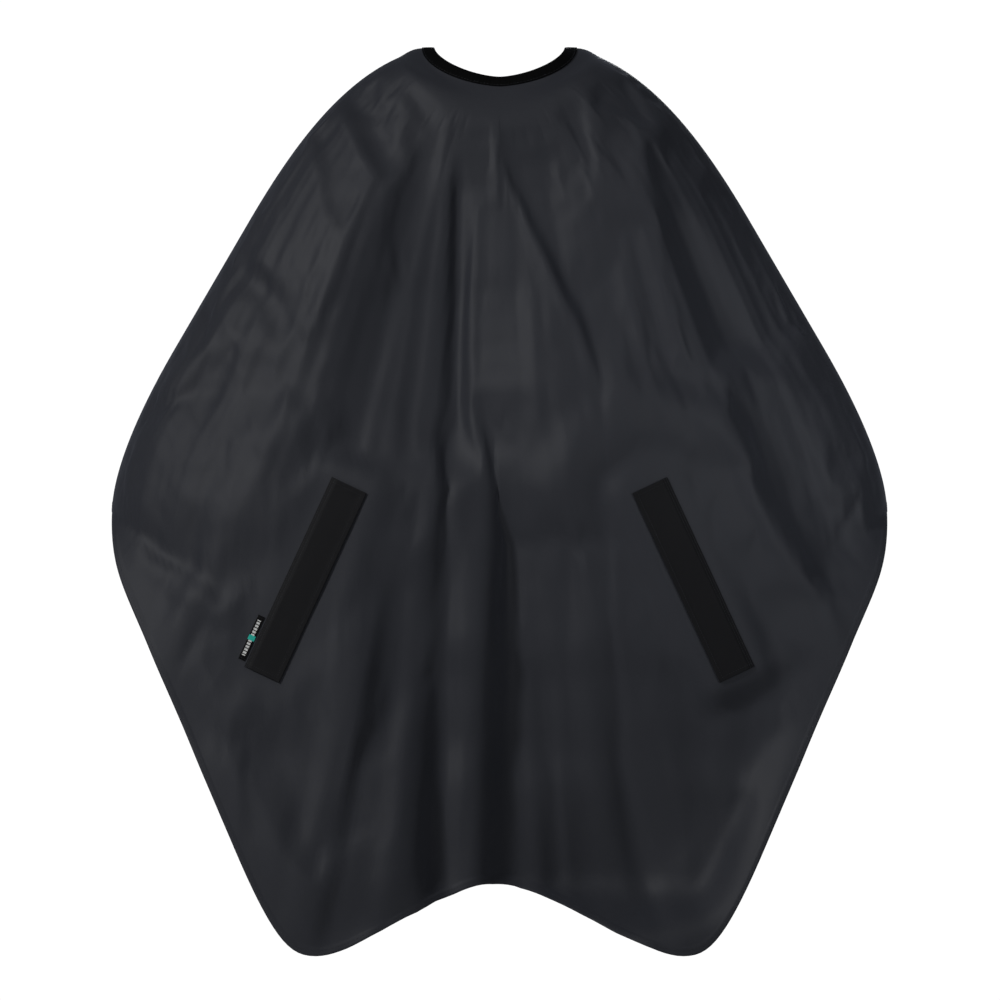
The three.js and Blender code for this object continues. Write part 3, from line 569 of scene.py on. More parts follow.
def cape_surface(fold_depth, crumple_depth):
    """Middle surface of the cloth, its normals, half thickness, flat pattern and how freely it may settle."""
    side, column = column_list()
    start, end = neckline_radius(column), hem_radius(column)
    share = (np.arange(1, ROWS + 1) / ROWS) ** ROW_GROWTH
    long = end - start - COLLAR_STRIP - HEM_ROWS[0] - BODY_MARGIN
    body = start[:, None] + COLLAR_STRIP + long[:, None] * share
    top = start[:, None] + np.array(COLLAR_ROWS)
    foot = end[:, None] - np.array(HEM_ROWS)
    radius = np.concatenate([top, (start + COLLAR_STRIP)[:, None], body, foot], axis=1)
    sides, columns = (np.broadcast_to(line[:, None], radius.shape) for line in (side, column))
    point = cloth_point(sides, columns, radius)
    edge, down, _ = collar_frame(side, column)
    below = radius - start[:, None]
    collar = edge[:, None] + down[:, None] * below[..., None]
    point = np.where((below < COLLAR_STRIP)[..., None], collar, point)
    x, z = point[..., 0], point[..., 2]
    beyond, _ = beyond_flap(point, sides)
    off_flap = smooth((beyond - FLAP_FADE[0]) / FLAP_FADE[1])
    front = columns <= 90.0
    fade = smooth(np.abs(columns - 90.0) / ARM_FADE) * np.where(front, off_flap, 1.0)
    hem = end[:, None] - radius
    flank = smooth((columns - FLANK_COLUMNS[0]) / FLANK_COLUMNS[1])
    still = 1.0 - flank * (1.0 - smooth(hem / FLANK_FADE))
    near_neck = smooth((below - NECK_FADE[0]) / NECK_FADE[1])
    crumples = crumple_height(x, z) * crumple_depth * fade
    folds = np.where(front, fold_height(x, z), back_height(columns, radius))
    folds += streak_height(sides, columns, radius)
    height = folds * fold_depth * fade + crumples
    point = point + grid_normal(point) * (height * near_neck * still)[..., None]
    stitched = np.abs(hem - HEM_ROWS[2]) < 0.1
    half = CLOTH / 2.0 + HEM_RISE * smooth((HEM_FOLD - hem) / HEM_STEP + 0.5) - HEM_DENT * stitched
    half = np.where(hem < 0.5, CLOTH * HEM_LIP, half)
    run = np.stack([run_along(line) for line in point])
    turn = np.radians(column_angle(columns, radius))
    pattern = np.stack([sides * run * np.sin(turn), np.where(front, -1.0, 1.0) * run * np.cos(turn)], axis=-1)
    free = smooth((below - SETTLE_NECK[0]) / SETTLE_NECK[1]) * off_flap
    off_arm = smooth((np.abs(columns - 90.0) - SETTLE_ARM[0]) / SETTLE_ARM[1])
    free *= off_arm * smooth((SETTLE_BACK[0] - columns) / SETTLE_BACK[1]) * still
    return {"point": point, "normal": grid_normal(point), "half": half, "pattern": pattern, "free": free}


# ---- Mesh making ----------------------------------------------------------------------------------


def outward(points, faces):
    """The faces turned so that a closed mesh's normals point out of it."""
    volume = 0.0
    for face in faces:
        a = points[face[0]]
        for b, c in zip(face[1:-1], face[2:]):
            volume += float(a @ np.cross(points[b], points[c]))
    return faces if volume > 0.0 else [tuple(reversed(face)) for face in faces]


def make_piece(name, points, faces, pattern, material):
    """A smooth mesh object at the origin from points and flat pattern coordinates in millimetres."""
    mesh = bpy.data.meshes.new(name)
    mesh.from_pydata((np.asarray(points) * MM).tolist(), [], faces)
    layer = mesh.uv_layers.new(name="cut")
    loops = np.zeros(len(mesh.loops), np.int32)
    mesh.loops.foreach_get("vertex_index", loops)
    layer.data.foreach_set("uv", (np.asarray(pattern, float)[loops] * MM).astype(np.float32).ravel())
    mesh.validate()
    mesh.shade_smooth()
    mesh.set_sharp_from_angle(angle=math.radians(SHARP_ANGLE))
    mesh.materials.append(material)
    piece = bpy.data.objects.new(name, mesh)
    bpy.context.scene.collection.objects.link(piece)
    return piece


def strip_faces(ring_count, section_count, cyclic=False):
    """Faces that join closed sections one after the other, with a face at each end unless they meet."""
    faces = []
    last = ring_count if cyclic else ring_count - 1
    for i in range(last):
        a, b = i * section_count, ((i + 1) % ring_count) * section_count
        for j in range(section_count):
            k = (j + 1) % section_count
            faces.append((a + j, a + k, b + k, b + j))
    if not cyclic:
        faces.append(tuple(reversed(range(section_count))))
        faces.append(tuple((ring_count - 1) * section_count + j for j in range(section_count)))
    return faces


def sweep_piece(name, rings, material, cyclic=False):
    """A closed piece from rings of section points, with its run along and round as flat pattern."""
    count, size = rings.shape[:2]
    points = rings.reshape(-1, 3)
    faces = outward(points, strip_faces(count, size, cyclic))
    along, round_it = run_along(rings.mean(axis=1)), run_along(rings[count // 2])
    pattern = np.stack(np.broadcast_arrays(round_it[None, :], along[:, None]), axis=-1).reshape(-1, 2)
    return make_piece(name, points, faces, pattern, material)


def in_frame(frame_of, across, along, out):
    """Points of a flat frame: across and along in its plane and out from it, each an array or a number."""
    across, along, out = np.broadcast_arrays(across, along, out)
    return (
        frame_of["origin"]
        + across[..., None] * frame_of["across"]
        + along[..., None] * frame_of["along"]
        + out[..., None] * frame_of["out"]
    )


def rounded_outline(half_width, half_length, radius, spacing=2.5, centre=0.0):
    """Points round a rectangle with round corners, with the direction square to its edge at each."""
    points, normals = [], []
    corners = [(1, 1, 0.0), (-1, 1, 90.0), (-1, -1, 180.0), (1, -1, 270.0)]
    for sx, sy, first in corners:
        for angle in np.radians(np.linspace(first, first + 90.0, 9)):
            direction = np.array([math.cos(angle), math.sin(angle)])
            middle = np.array([sx * (half_width - radius), sy * (half_length - radius)])
            points.append(middle + radius * direction)
            normals.append(direction)
    points.append(points[0])
    normals.append(normals[0])
    points, normals = np.array(points), np.array(normals)
    run = run_along(points)
    at = np.unique(np.concatenate([run[:-1], np.arange(0.0, run[-1] - 0.5 * spacing, spacing)]))
    keep = np.concatenate([[True], np.diff(at) > 1e-4])
    at = at[keep]
    line = np.stack([np.interp(at, run, points[:, k]) for k in range(2)], axis=-1)
    face = unit(np.stack([np.interp(at, run, normals[:, k]) for k in range(2)], axis=-1))
    return line + np.array([centre, 0.0]), face


# ---- Materials ------------------------------------------------------------------------------------

SHEEN_TINT = (0.78, 0.84, 1.0, 1.0)
# Scale, detail, roughness and distortion of each noise
DYE_BROAD = (7.0, 3.0, 0.55, 0.0)
DYE_FINE = (260.0, 2.0, 0.6, 0.0)
CREASES = (38.0, 4.0, 0.55, 0.6)
PLASTIC_SKIN = (900.0, 2.0, 0.5, 0.0)
PLASTIC_RUB = (160.0, 3.0, 0.6, 0.0)
FLOOR_GRAIN = (2.5, 3.0, 0.5, 0.0)
# How much of the paler colour each layer brings
BROAD_SHARE = 0.75
FINE_SHARE = 0.35
YARN_SHARE = 0.10
CLOTH_ROUGHNESS_SPREAD = 0.16
PLASTIC_ROUGHNESS_SPREAD = 0.2
CREASE_DEPTH = 1.2
WEAVE_STRENGTH = 0.6
TWILL_STEEP = 3.0
TWILL_COUNTER = 0.3

# The label's ribbon, in shares of its length and width: dashes along it, and one stripe across its middle
LABEL_DASHES = 15.0
LABEL_DASH_HALF = 0.34     # half of a dash's share of its space
LABEL_DASH_BAND = (0.52, 0.25)
LABEL_PRINTED = 0.40
LABEL_STRIPE_HALF = 0.055


def toned(colour, gain, lift=0.0):
    return tuple(min(1.0, c * gain + lift) for c in colour)


def add_node(tree, kind, values=(), **settings):
    node = tree.nodes.new(kind)
    for key, value in settings.items():
        setattr(node, key, value)
    for socket, value in dict(values).items():
        node.inputs[socket].default_value = value
    return node


def math_node(tree, operation, first, second=None, third=None):
    node = add_node(tree, "ShaderNodeMath", operation=operation)
    for slot, value in enumerate((first, second, third)):
        if value is None:
            continue
        if isinstance(value, (int, float)):
            node.inputs[slot].default_value = value
        else:
            tree.links.new(value, node.inputs[slot])
    return node.outputs[0]


def mixed_colour(tree, factor, first, second):
    node = add_node(tree, "ShaderNodeMix", data_type="RGBA")
    tree.links.new(factor, node.inputs["Factor"])
    for name, value in (("A", first), ("B", second)):
        socket = next(s for s in node.inputs if s.name == name and s.type == "RGBA")
        if isinstance(value, bpy.types.NodeSocket):
            tree.links.new(value, socket)
        else:
            socket.default_value = (*value, 1.0)
    return next(s for s in node.outputs if s.type == "RGBA")


def new_material(name, **values):
    """A material with its node tree and its shader, the shader's sockets set as named."""
    material = bpy.data.materials.new(name)
    material.use_nodes = True
    shader = material.node_tree.nodes["Principled BSDF"]
    for key, value in values.items():
        shader.inputs[key.replace("_", " ")].default_value = value
    return material, material.node_tree, shader


def noises(tree, *settings):
    """Noise textures on object coordinates, each from its scale, detail, roughness and distortion."""
    place = add_node(tree, "ShaderNodeTexCoord")
    made = []
    for scale, detail, roughness, distortion in settings:
        values = {"Scale": scale, "Detail": detail, "Roughness": roughness, "Distortion": distortion}
        texture = add_node(tree, "ShaderNodeTexNoise", values)
        tree.links.new(place.outputs["Object"], texture.inputs["Vector"])
        made.append(texture.outputs["Fac"])
    return made


def bumps(tree, shader, *layers):
    """Bump layers from heights, each with its strength and its depth in millimetres, the last on top."""
    below = None
    for height, strength, depth in layers:
        bump = add_node(tree, "ShaderNodeBump", {"Strength": strength, "Distance": depth * MM})
        tree.links.new(height, bump.inputs["Height"])
        if below is not None:
            tree.links.new(below, bump.inputs["Normal"])
        below = bump.outputs["Normal"]
    tree.links.new(below, shader.inputs["Normal"])


def uneven(tree, shader, height, middle, spread):
    """Roughness that wanders round a middle value with a height."""
    rough = math_node(tree, "MULTIPLY_ADD", height, spread, middle - spread / 2.0)
    tree.links.new(rough, shader.inputs["Roughness"])


def woven_material(name, colour, pale, roughness, pitch, twill=False, sheen=0.2, depth=0.035, specular=0.35,
                   crush=0.25):
    """Woven cloth: yarns on the flat pattern, uneven dye and sheen, and small creases in the surface."""
    material, tree, shader = new_material(
        name, Specular_IOR_Level=specular, Sheen_Weight=sheen, Sheen_Roughness=0.4, Sheen_Tint=SHEEN_TINT
    )
    cut = add_node(tree, "ShaderNodeUVMap", uv_map="cut")
    parts = add_node(tree, "ShaderNodeSeparateXYZ")
    tree.links.new(cut.outputs["UV"], parts.inputs["Vector"])
    turns = 2.0 * math.pi / (pitch * MM)
    across = math_node(tree, "MULTIPLY", parts.outputs["X"], turns)
    along = math_node(tree, "MULTIPLY", parts.outputs["Y"], turns)
    if twill:
        slope = math_node(tree, "SINE", math_node(tree, "ADD", across, along))
        steep = math_node(tree, "MULTIPLY", along, TWILL_STEEP)
        counter = math_node(tree, "SINE", math_node(tree, "SUBTRACT", across, steep))
        yarns = math_node(tree, "MULTIPLY_ADD", counter, TWILL_COUNTER, slope)
    else:
        yarns = math_node(tree, "MULTIPLY", math_node(tree, "SINE", across), math_node(tree, "SINE", along))
    broad, fine, creases = noises(tree, DYE_BROAD, DYE_FINE, CREASES)
    patchy = math_node(tree, "MULTIPLY", broad, BROAD_SHARE)
    patchy = math_node(tree, "MULTIPLY_ADD", fine, FINE_SHARE, patchy)
    patchy = math_node(tree, "MULTIPLY_ADD", yarns, YARN_SHARE, patchy)
    tree.links.new(mixed_colour(tree, patchy, colour, pale), shader.inputs["Base Color"])
    uneven(tree, shader, broad, roughness, CLOTH_ROUGHNESS_SPREAD)
    bumps(tree, shader, (creases, crush, CREASE_DEPTH), (yarns, WEAVE_STRENGTH, depth))
    return material


def moulded_material(name, colour, roughness):
    """Satin moulded plastic with a faint uneven skin."""
    material, tree, shader = new_material(name, Specular_IOR_Level=0.5)
    skin, rubbed = noises(tree, PLASTIC_SKIN, PLASTIC_RUB)
    worn = toned(colour, 1.9, 0.004)
    tree.links.new(mixed_colour(tree, rubbed, colour, worn), shader.inputs["Base Color"])
    uneven(tree, shader, rubbed, roughness, PLASTIC_ROUGHNESS_SPREAD)
    bumps(tree, shader, (skin, 0.3, 0.05))
    return material


def label_material(name, ground, dash, stripe):
    """Woven label: pale dashes along a black ribbon, and one plain coloured stripe across it."""
    pale_ground = toned(ground, 1.7, 0.0005)
    material = woven_material(name, ground, pale_ground, 0.6, 0.5, depth=0.03, sheen=0.03, specular=0.12)
    tree = material.node_tree
    shader = tree.nodes["Principled BSDF"]
    base = shader.inputs["Base Color"].links[0].from_socket
    place = add_node(tree, "ShaderNodeAttribute", attribute_name="ribbon", attribute_type="GEOMETRY")
    parts = add_node(tree, "ShaderNodeSeparateXYZ")
    tree.links.new(place.outputs["Vector"], parts.inputs["Vector"])
    across, along, face = parts.outputs["X"], parts.outputs["Y"], parts.outputs["Z"]

    def band(value, centre, half):
        return math_node(tree, "COMPARE", value, centre, half)

    repeat = math_node(tree, "FRACT", math_node(tree, "MULTIPLY", along, LABEL_DASHES))
    dashes = math_node(tree, "MULTIPLY", band(repeat, 0.5, LABEL_DASH_HALF), band(across, *LABEL_DASH_BAND))
    inside = band(along, 0.5, LABEL_PRINTED)
    dashes = math_node(tree, "MULTIPLY", math_node(tree, "MULTIPLY", dashes, inside), face)
    middle = math_node(tree, "MULTIPLY", band(along, 0.5, LABEL_STRIPE_HALF), face)
    pale = mixed_colour(tree, dashes, base, dash)
    tree.links.new(mixed_colour(tree, middle, pale, stripe), shader.inputs["Base Color"])
    return material


FINISHES = ("CapeCloth", "FlapCloth", "BindingTape", "Thread", "LabelCloth", "SnapPlastic")


def finishes():
    """The cape's materials by name, made the first time that they are asked for."""
    look = bpy.context.scene.cape_finish
    made = bpy.data.materials
    if FINISHES[0] not in made:
        cloth, flap, tape, thread = (tuple(c) for c in (look.cloth, look.flap, look.tape, look.thread))
        woven_material("CapeCloth", cloth, tuple(look.cloth_pale), 0.58, look.weave,
                       sheen=look.sheen, specular=0.32, crush=0.3)
        woven_material("FlapCloth", flap, toned(flap, 1.5), 0.62, 1.1,
                       twill=True, depth=0.05, sheen=0.08, specular=0.22, crush=0.12)
        woven_material("BindingTape", tape, toned(tape, 1.6), 0.75, 0.9,
                       twill=True, depth=0.06, sheen=0.02, specular=0.10, crush=0.15)
        woven_material("Thread", thread, toned(thread, 1.8), 0.6, 0.5, sheen=0.3, crush=0.0)
        label_material("LabelCloth", tape, tuple(look.label_dash), tuple(look.label_stripe))
        moulded_material("SnapPlastic", tuple(look.snap), 0.38)
    return {name: made[name] for name in FINISHES}


# ---- Stitches -------------------------------------------------------------------------------------


def stitch_tree():
    """Geometry nodes that lay a plump stitch every so far along each line of a mesh."""
    if "Stitches" in bpy.data.node_groups:
        return bpy.data.node_groups["Stitches"]
    tree = bpy.data.node_groups.new("Stitches", "GeometryNodeTree")
    face = tree.interface
    face.new_socket("Geometry", in_out="INPUT", socket_type="NodeSocketGeometry")
    for name, value in (("Pitch", 3.5 * MM), ("Length", 2.7 * MM), ("Thickness", 0.5 * MM)):
        socket = face.new_socket(name, in_out="INPUT", socket_type="NodeSocketFloat")
        socket.default_value = value
    face.new_socket("Thread", in_out="INPUT", socket_type="NodeSocketMaterial")
    face.new_socket("Geometry", in_out="OUTPUT", socket_type="NodeSocketGeometry")
    given = tree.nodes.new("NodeGroupInput")
    result = tree.nodes.new("NodeGroupOutput")
    curve = tree.nodes.new("GeometryNodeMeshToCurve")
    resample = add_node(tree, "GeometryNodeResampleCurve", mode="LENGTH")
    stitch = add_node(tree, "GeometryNodeMeshUVSphere", {"Segments": 6, "Rings": 4, "Radius": 0.5})
    size = tree.nodes.new("ShaderNodeCombineXYZ")
    tangent = tree.nodes.new("GeometryNodeInputTangent")
    turn = add_node(tree, "FunctionNodeAlignRotationToVector", axis="X")
    placed = tree.nodes.new("GeometryNodeInstanceOnPoints")
    real = tree.nodes.new("GeometryNodeRealizeInstances")
    finish = tree.nodes.new("GeometryNodeSetMaterial")
    smooth_it = tree.nodes.new("GeometryNodeSetShadeSmooth")
    for a, b in (
        (given.outputs["Geometry"], curve.inputs["Mesh"]),
        (curve.outputs["Curve"], resample.inputs["Curve"]),
        (given.outputs["Pitch"], resample.inputs["Length"]),
        (resample.outputs["Curve"], placed.inputs["Points"]),
        (stitch.outputs["Mesh"], placed.inputs["Instance"]),
        (given.outputs["Length"], size.inputs["X"]),
        (given.outputs["Thickness"], size.inputs["Y"]),
        (given.outputs["Thickness"], size.inputs["Z"]),
        (size.outputs["Vector"], placed.inputs["Scale"]),
        (tangent.outputs["Tangent"], turn.inputs["Vector"]),
        (turn.outputs["Rotation"], placed.inputs["Rotation"]),
        (placed.outputs["Instances"], smooth_it.inputs["Geometry"]),
        (smooth_it.outputs["Geometry"], real.inputs["Geometry"]),
        (real.outputs["Geometry"], finish.inputs["Geometry"]),
        (given.outputs["Thread"], finish.inputs["Material"]),
        (finish.outputs["Geometry"], result.inputs["Geometry"]),
    ):
        tree.links.new(a, b)
    return tree


def stitch_piece(name, lines, pitch, length, thickness):
    """One mesh of stitches along lines of points in millimetres; a line is closed if its ends meet."""
    points, edges = [], []
    for line in lines:
        first = len(points)
        points += [tuple(p) for p in np.asarray(line) * MM]
        edges += [(first + i, first + i + 1) for i in range(len(line) - 1)]
    mesh = bpy.data.meshes.new(name)
    mesh.from_pydata(points, edges, [])
    piece = bpy.data.objects.new(name, mesh)
    bpy.context.scene.collection.objects.link(piece)
    tree = stitch_tree()
    named = {item.name: item.identifier for item in tree.interface.items_tree if item.in_out == "INPUT"}
    modifier = piece.modifiers.new("Stitches", "NODES")
    modifier.node_group = tree
    for key, value in (("Pitch", pitch * MM), ("Length", length * MM), ("Thickness", thickness * MM)):
        modifier[named[key]] = value
    modifier[named["Thread"]] = finishes()["Thread"]
    return settled(piece)


def settled(piece):
    """The piece with its modifiers worked into a plain mesh."""
    bpy.context.view_layer.update()
    graph = bpy.context.evaluated_depsgraph_get()
    mesh = bpy.data.meshes.new_from_object(piece.evaluated_get(graph))
    old = piece.data
    piece.modifiers.clear()
    piece.data = mesh
    mesh.name = piece.name
    bpy.data.meshes.remove(old)
    return piece


# ---- The pieces -----------------------------------------------------------------------------------

CAPE = {}


def surface():
    """The draped cloth, worked out once."""
    if not CAPE:
        drape = bpy.context.scene.cape_drape
        CAPE.update(cape_surface(drape.fold_depth, drape.crumple_depth))
        if drape.settle:
            settle(CAPE)
    return CAPE


def spaced(run, least):
    """Positions along a growing run that lie at least so far apart, with its first and last."""
    kept = [0]
    for i in range(1, len(run) - 1):
        if run[i] - run[kept[-1]] >= least and run[-1] - run[i] >= least / 2.0:
            kept.append(i)
    return np.array([*kept, len(run) - 1])


def filled_in(values, at, count):
    """Values known at some places along their first axis, filled in at all of them."""
    lines = values.reshape(len(values), -1).T
    filled = np.stack([np.interp(np.arange(count), at, line) for line in lines], axis=-1)
    return filled.reshape(count, *values.shape[1:])


def settle(grid):
    """Let the drape hang a moment as simulated cloth a little too large for it, and keep the creases."""
    point, free = grid["point"], grid["free"]
    middle = point[len(point) // 2]
    rows = spaced(run_along(middle), SETTLE_ROWS)
    columns = np.unique(np.append(np.arange(0, len(point), SETTLE_COLUMNS), len(point) - 1))
    coarse = point[np.ix_(columns, rows)]
    index = np.arange(coarse.shape[0] * coarse.shape[1]).reshape(coarse.shape[:2])
    faces = np.stack([index[:-1, :-1], index[:-1, 1:], index[1:, 1:], index[1:, :-1]], axis=-1).reshape(-1, 4)
    mesh = bpy.data.meshes.new("settling")
    mesh.from_pydata((coarse.reshape(-1, 3) * MM).tolist(), [], faces.tolist())
    sheet = bpy.data.objects.new("settling", mesh)
    scene = bpy.context.scene
    scene.collection.objects.link(sheet)
    held = sheet.vertex_groups.new(name="held")
    loose = free[np.ix_(columns, rows)].ravel()
    for i, share in enumerate(loose):
        held.add([i], float(1.0 - share), "REPLACE")
    cloth = sheet.modifiers.new("Cloth", "CLOTH")
    cloth.settings.vertex_group_mass = "held"
    for key, value in SETTLE_CLOTH.items():
        setattr(cloth.settings, key, value)
    cloth.settings.effector_weights.gravity = SETTLE_WEIGHT
    cloth.collision_settings.use_collision = False
    cloth.collision_settings.use_self_collision = False
    cloth.point_cache.frame_start = 1
    cloth.point_cache.frame_end = SETTLE_FRAMES
    for step in range(1, SETTLE_FRAMES + 1):
        scene.frame_set(step)
    graph = bpy.context.evaluated_depsgraph_get()
    hung = sheet.evaluated_get(graph).to_mesh()
    where = np.zeros(len(hung.vertices) * 3)
    hung.vertices.foreach_get("co", where)
    sheet.evaluated_get(graph).to_mesh_clear()
    moved = where.reshape(coarse.shape) / MM - coarse
    upright = grid["normal"][np.ix_(columns, rows)]
    out = upright * np.sum(moved * upright, axis=-1, keepdims=True)
    moved = out + SETTLE_SLIDE * (moved - out)
    scene.frame_set(1)
    bpy.data.objects.remove(sheet)
    bpy.data.meshes.remove(mesh)
    if not np.isfinite(moved).all():
        raise RuntimeError("the cloth did not settle")
    far = np.linalg.norm(moved, axis=-1, keepdims=True)
    moved *= np.minimum(1.0, SETTLE_CAP / np.maximum(far, 1e-9))
    by_row = filled_in(moved.transpose(1, 0, 2), rows, point.shape[1])
    full = filled_in(by_row.transpose(1, 0, 2), columns, len(point))
    grid["point"] = point + full * free[..., None]
    grid["normal"] = grid_normal(grid["point"])


def make_cape_cloth():
    grid = surface()
    point, normal, half = grid["point"], grid["normal"], grid["half"]
    columns, rows = half.shape
    outer = point + normal * half[..., None]
    inner = point - normal * half[..., None]
    points = np.concatenate([outer.reshape(-1, 3), inner.reshape(-1, 3)])
    pattern = np.concatenate([grid["pattern"].reshape(-1, 2)] * 2)
    index = np.arange(columns * rows).reshape(columns, rows)
    a, b, c, d = index[:-1, :-1], index[:-1, 1:], index[1:, 1:], index[1:, :-1]
    front = np.stack([a, b, c, d], axis=-1).reshape(-1, 4)
    faces = front.tolist() + (front[:, ::-1] + index.size).tolist()
    edge = np.concatenate([index[0, :], index[1:, -1], index[-1, -2::-1], index[-2:0:-1, 0]])
    nearby = np.roll(edge, -1)
    faces += np.stack([nearby, edge, edge + index.size, nearby + index.size], axis=-1).tolist()
    cape = make_piece("cape_cloth", points, faces, pattern, finishes()["CapeCloth"])
    cutters = [slit_cutter(side) for side in SLITS]
    for cutter in cutters:
        cut = cape.modifiers.new("Slit", "BOOLEAN")
        cut.operation = "DIFFERENCE"
        cut.solver = "FAST"
        cut.object = cutter
    settled(cape)
    for cutter in cutters:
        bpy.data.objects.remove(cutter)
    cape.data.set_sharp_from_angle(angle=math.radians(SHARP_ANGLE))
    return cape


def slit_outline(grow, radius, spacing, centre=0.0):
    return rounded_outline(SLIT_WIDTH / 2.0 + grow, SLIT_LENGTH / 2.0 + grow, radius, spacing, centre)


def slit_cutter(side):
    line, _ = slit_outline(0.0, SLIT_ROUND, SLIT_SPACING, SLIT_SHIFT)
    rings = np.stack([in_frame(SLITS[side], line[:, 0], line[:, 1], out) for out in (-SLIT_CUT, SLIT_CUT)])
    return sweep_piece(f"slit_cutter_{side}", rings, finishes()["CapeCloth"])


# Section of the folded neck tape: how far down from the neckline and how far out, once round it
BINDING_SECTION = (
    (14.6, 0.62), (14.75, 1.0), (14.6, 1.42), (14, 1.66), (13.2, 1.62), (12.6, 1.42), (12, 1.62), (9.0, 1.72),
    (6.0, 1.78), (3.0, 1.72), (1.0, 1.62), (-0.3, 1.3), (-1.0, 0.7), (-1.25, 0.0), (-1.0, -0.7), (-0.3, -1.3),
    (1.0, -1.62), (6.0, -1.7), (12, -1.62), (12.6, -1.42), (14, -1.62), (14.6, -1.42), (14.75, -1.0),
    (14.6, -0.62), (6.0, -0.62), (0.2, -0.5), (-0.1, 0.0), (0.2, 0.5), (6.0, 0.62),
)
BINDING_SEAM = (12.6, 1.46)
BINDING_INSIDE = 1.1       # points nearer to the cloth than this keep out of the pucker
# Its pucker: height, waves in radians for the whole neck and phase
PUCKER = ((0.09, 620.0, 0.0), (0.06, 391.0, 1.0))


def collar_line():
    """The neckline from one end of the back opening round to the other, with the share of the way."""
    share = np.linspace(0.0, 1.0, 2 * len(column_list()[0]))
    turn = share * 360.0 - 180.0
    return (*collar_frame(np.where(turn < 0.0, -1.0, 1.0), np.abs(turn)), share)


def make_neck_binding():
    top, down, out, share = collar_line()
    pucker = sum(high * np.sin(share * waves + phase) for high, waves, phase in PUCKER)
    section = np.array(BINDING_SECTION)
    low, flat = section[:, 0][None, :], section[:, 1][None, :]
    swell = flat + np.sign(flat) * pucker[:, None] * (low > 2.0)
    swell = np.where(np.abs(flat) < BINDING_INSIDE, flat, swell)
    rings = top[:, None] + down[:, None] * section[None, :, :1] + out[:, None] * swell[..., None]
    return sweep_piece("neck_binding", rings, finishes()["BindingTape"])


def binding_stitch_lines():
    top, down, out, _ = collar_line()
    low, high = BINDING_SEAM
    return [(top + down * low + out * sign * high)[3:-3] for sign in (1.0, -1.0)]


def hem_stitch_lines():
    grid = surface()
    lines = []
    for sign in (1.0, -1.0):
        over = grid["normal"] * (sign * (grid["half"] + ON_TOP))[..., None]
        lines.append((grid["point"] + over)[1:-1, HEM_STITCH_ROW])
        for edge, beside in ((0, 1), (-1, -2)):
            first, second = grid["point"][edge], grid["point"][beside]
            inset = first + unit(second - first) * HEM_SIDE
            over = grid["normal"][edge] * sign * (CLOTH / 2.0 + ON_TOP)
            lines.append((inset + over)[len(COLLAR_ROWS):HEM_STITCH_ROW])
    return lines


SLIT_ROUND = SLIT_WIDTH / 2.0 - 0.3
SLIT_SPACING = 3.0
SLIT_CUT = 6.0
FACING_GAP = 0.5           # between the slit's edge and its facing
# Section of a facing: share of its width from the slit, or its fold in millimetres, and how far out
FACING_FOLD = (0.35, 2.6)
FACING_SECTION = (
    (0.0, -1.2), (0.35, -0.86), (0.5, -0.8), (0.965, -0.8), (1.0, -1.2), (0.965, -1.58), (0.5, -1.52),
    (0.35, -1.58),
)
# Stitches round a slit (distance from its edge, height) and round its facing's rim (height)
SLIT_SEAMS = ((3.0, 0.52), (3.0, -1.62))
FACING_SEAMS = (0.52, -1.6)
FACING_SEAM_INSET = 3.0


def make_slit_facing(side):
    line, face = slit_outline(FACING_GAP, SLIT_ROUND, SLIT_SPACING)
    room = np.array([FACING_WIDTH, FACING_LENGTH]) / 2.0 - np.abs(line)
    width = np.min(room / np.maximum(np.abs(face), 1e-9), axis=1)
    rings = []
    for share, out in FACING_SECTION:
        step = np.where(share == FACING_FOLD[0], FACING_FOLD[1], share * width)
        at = line + face * step[:, None]
        rings.append(in_frame(SLITS[side], at[:, 0] + SLIT_SHIFT, at[:, 1], out))
    name = dict(SIDES)[side]
    return sweep_piece(f"{name}_slit_binding", np.stack(rings, axis=1), finishes()["FlapCloth"], cyclic=True)


def facing_stitch_lines(side):
    seams = []
    for grow, out in SLIT_SEAMS:
        line, _ = slit_outline(grow, SLIT_WIDTH / 2.0 + grow - 0.5, SLIT_SPACING, SLIT_SHIFT)
        seams.append((line, out))
    inset = FACING_SEAM_INSET
    rim, _ = rounded_outline(FACING_WIDTH / 2.0 - inset, FACING_LENGTH / 2.0 - inset, 1.0, 6.0, SLIT_SHIFT)
    seams += [(rim, out) for out in FACING_SEAMS]
    closed = [(np.concatenate([line, line[:1]]), out) for line, out in seams]
    return [in_frame(SLITS[side], line[:, 0], line[:, 1], out) for line, out in closed]


FLAP_EDGE = FLAP_WIDTH / 2.0
FLAP_END = FLAP_LENGTH / 2.0
FLAP_HEM = 7.0
FLAP_PHASES = {-1: 0.7, 1: 2.4}
# Height of a flap over the cape at its seam, its rise over the facing, and how far its free edge drops
FLAP_SEAT = 1.5
FLAP_RISE = 2.0
FLAP_DROP = 0.55
# Waves along it: height, length for a radian and how often the flap's phase counts
FLAP_WAVES = ((0.22, 31.0, 1.0), (0.13, 13.0, 2.0))
FLAP_PLY = 0.48            # half thickness of the flap, what its hem adds and what its stitches pull in
FLAP_HEM_PLY = 0.2
FLAP_DENT = 0.12
FLAP_RIM = 0.4             # its edges are rounded over this width
FLAP_SEAMS = (2.0, 5.5)    # seam lines from the sewn edge
FLAP_HEM_SEAM = FLAP_HEM - 1.6


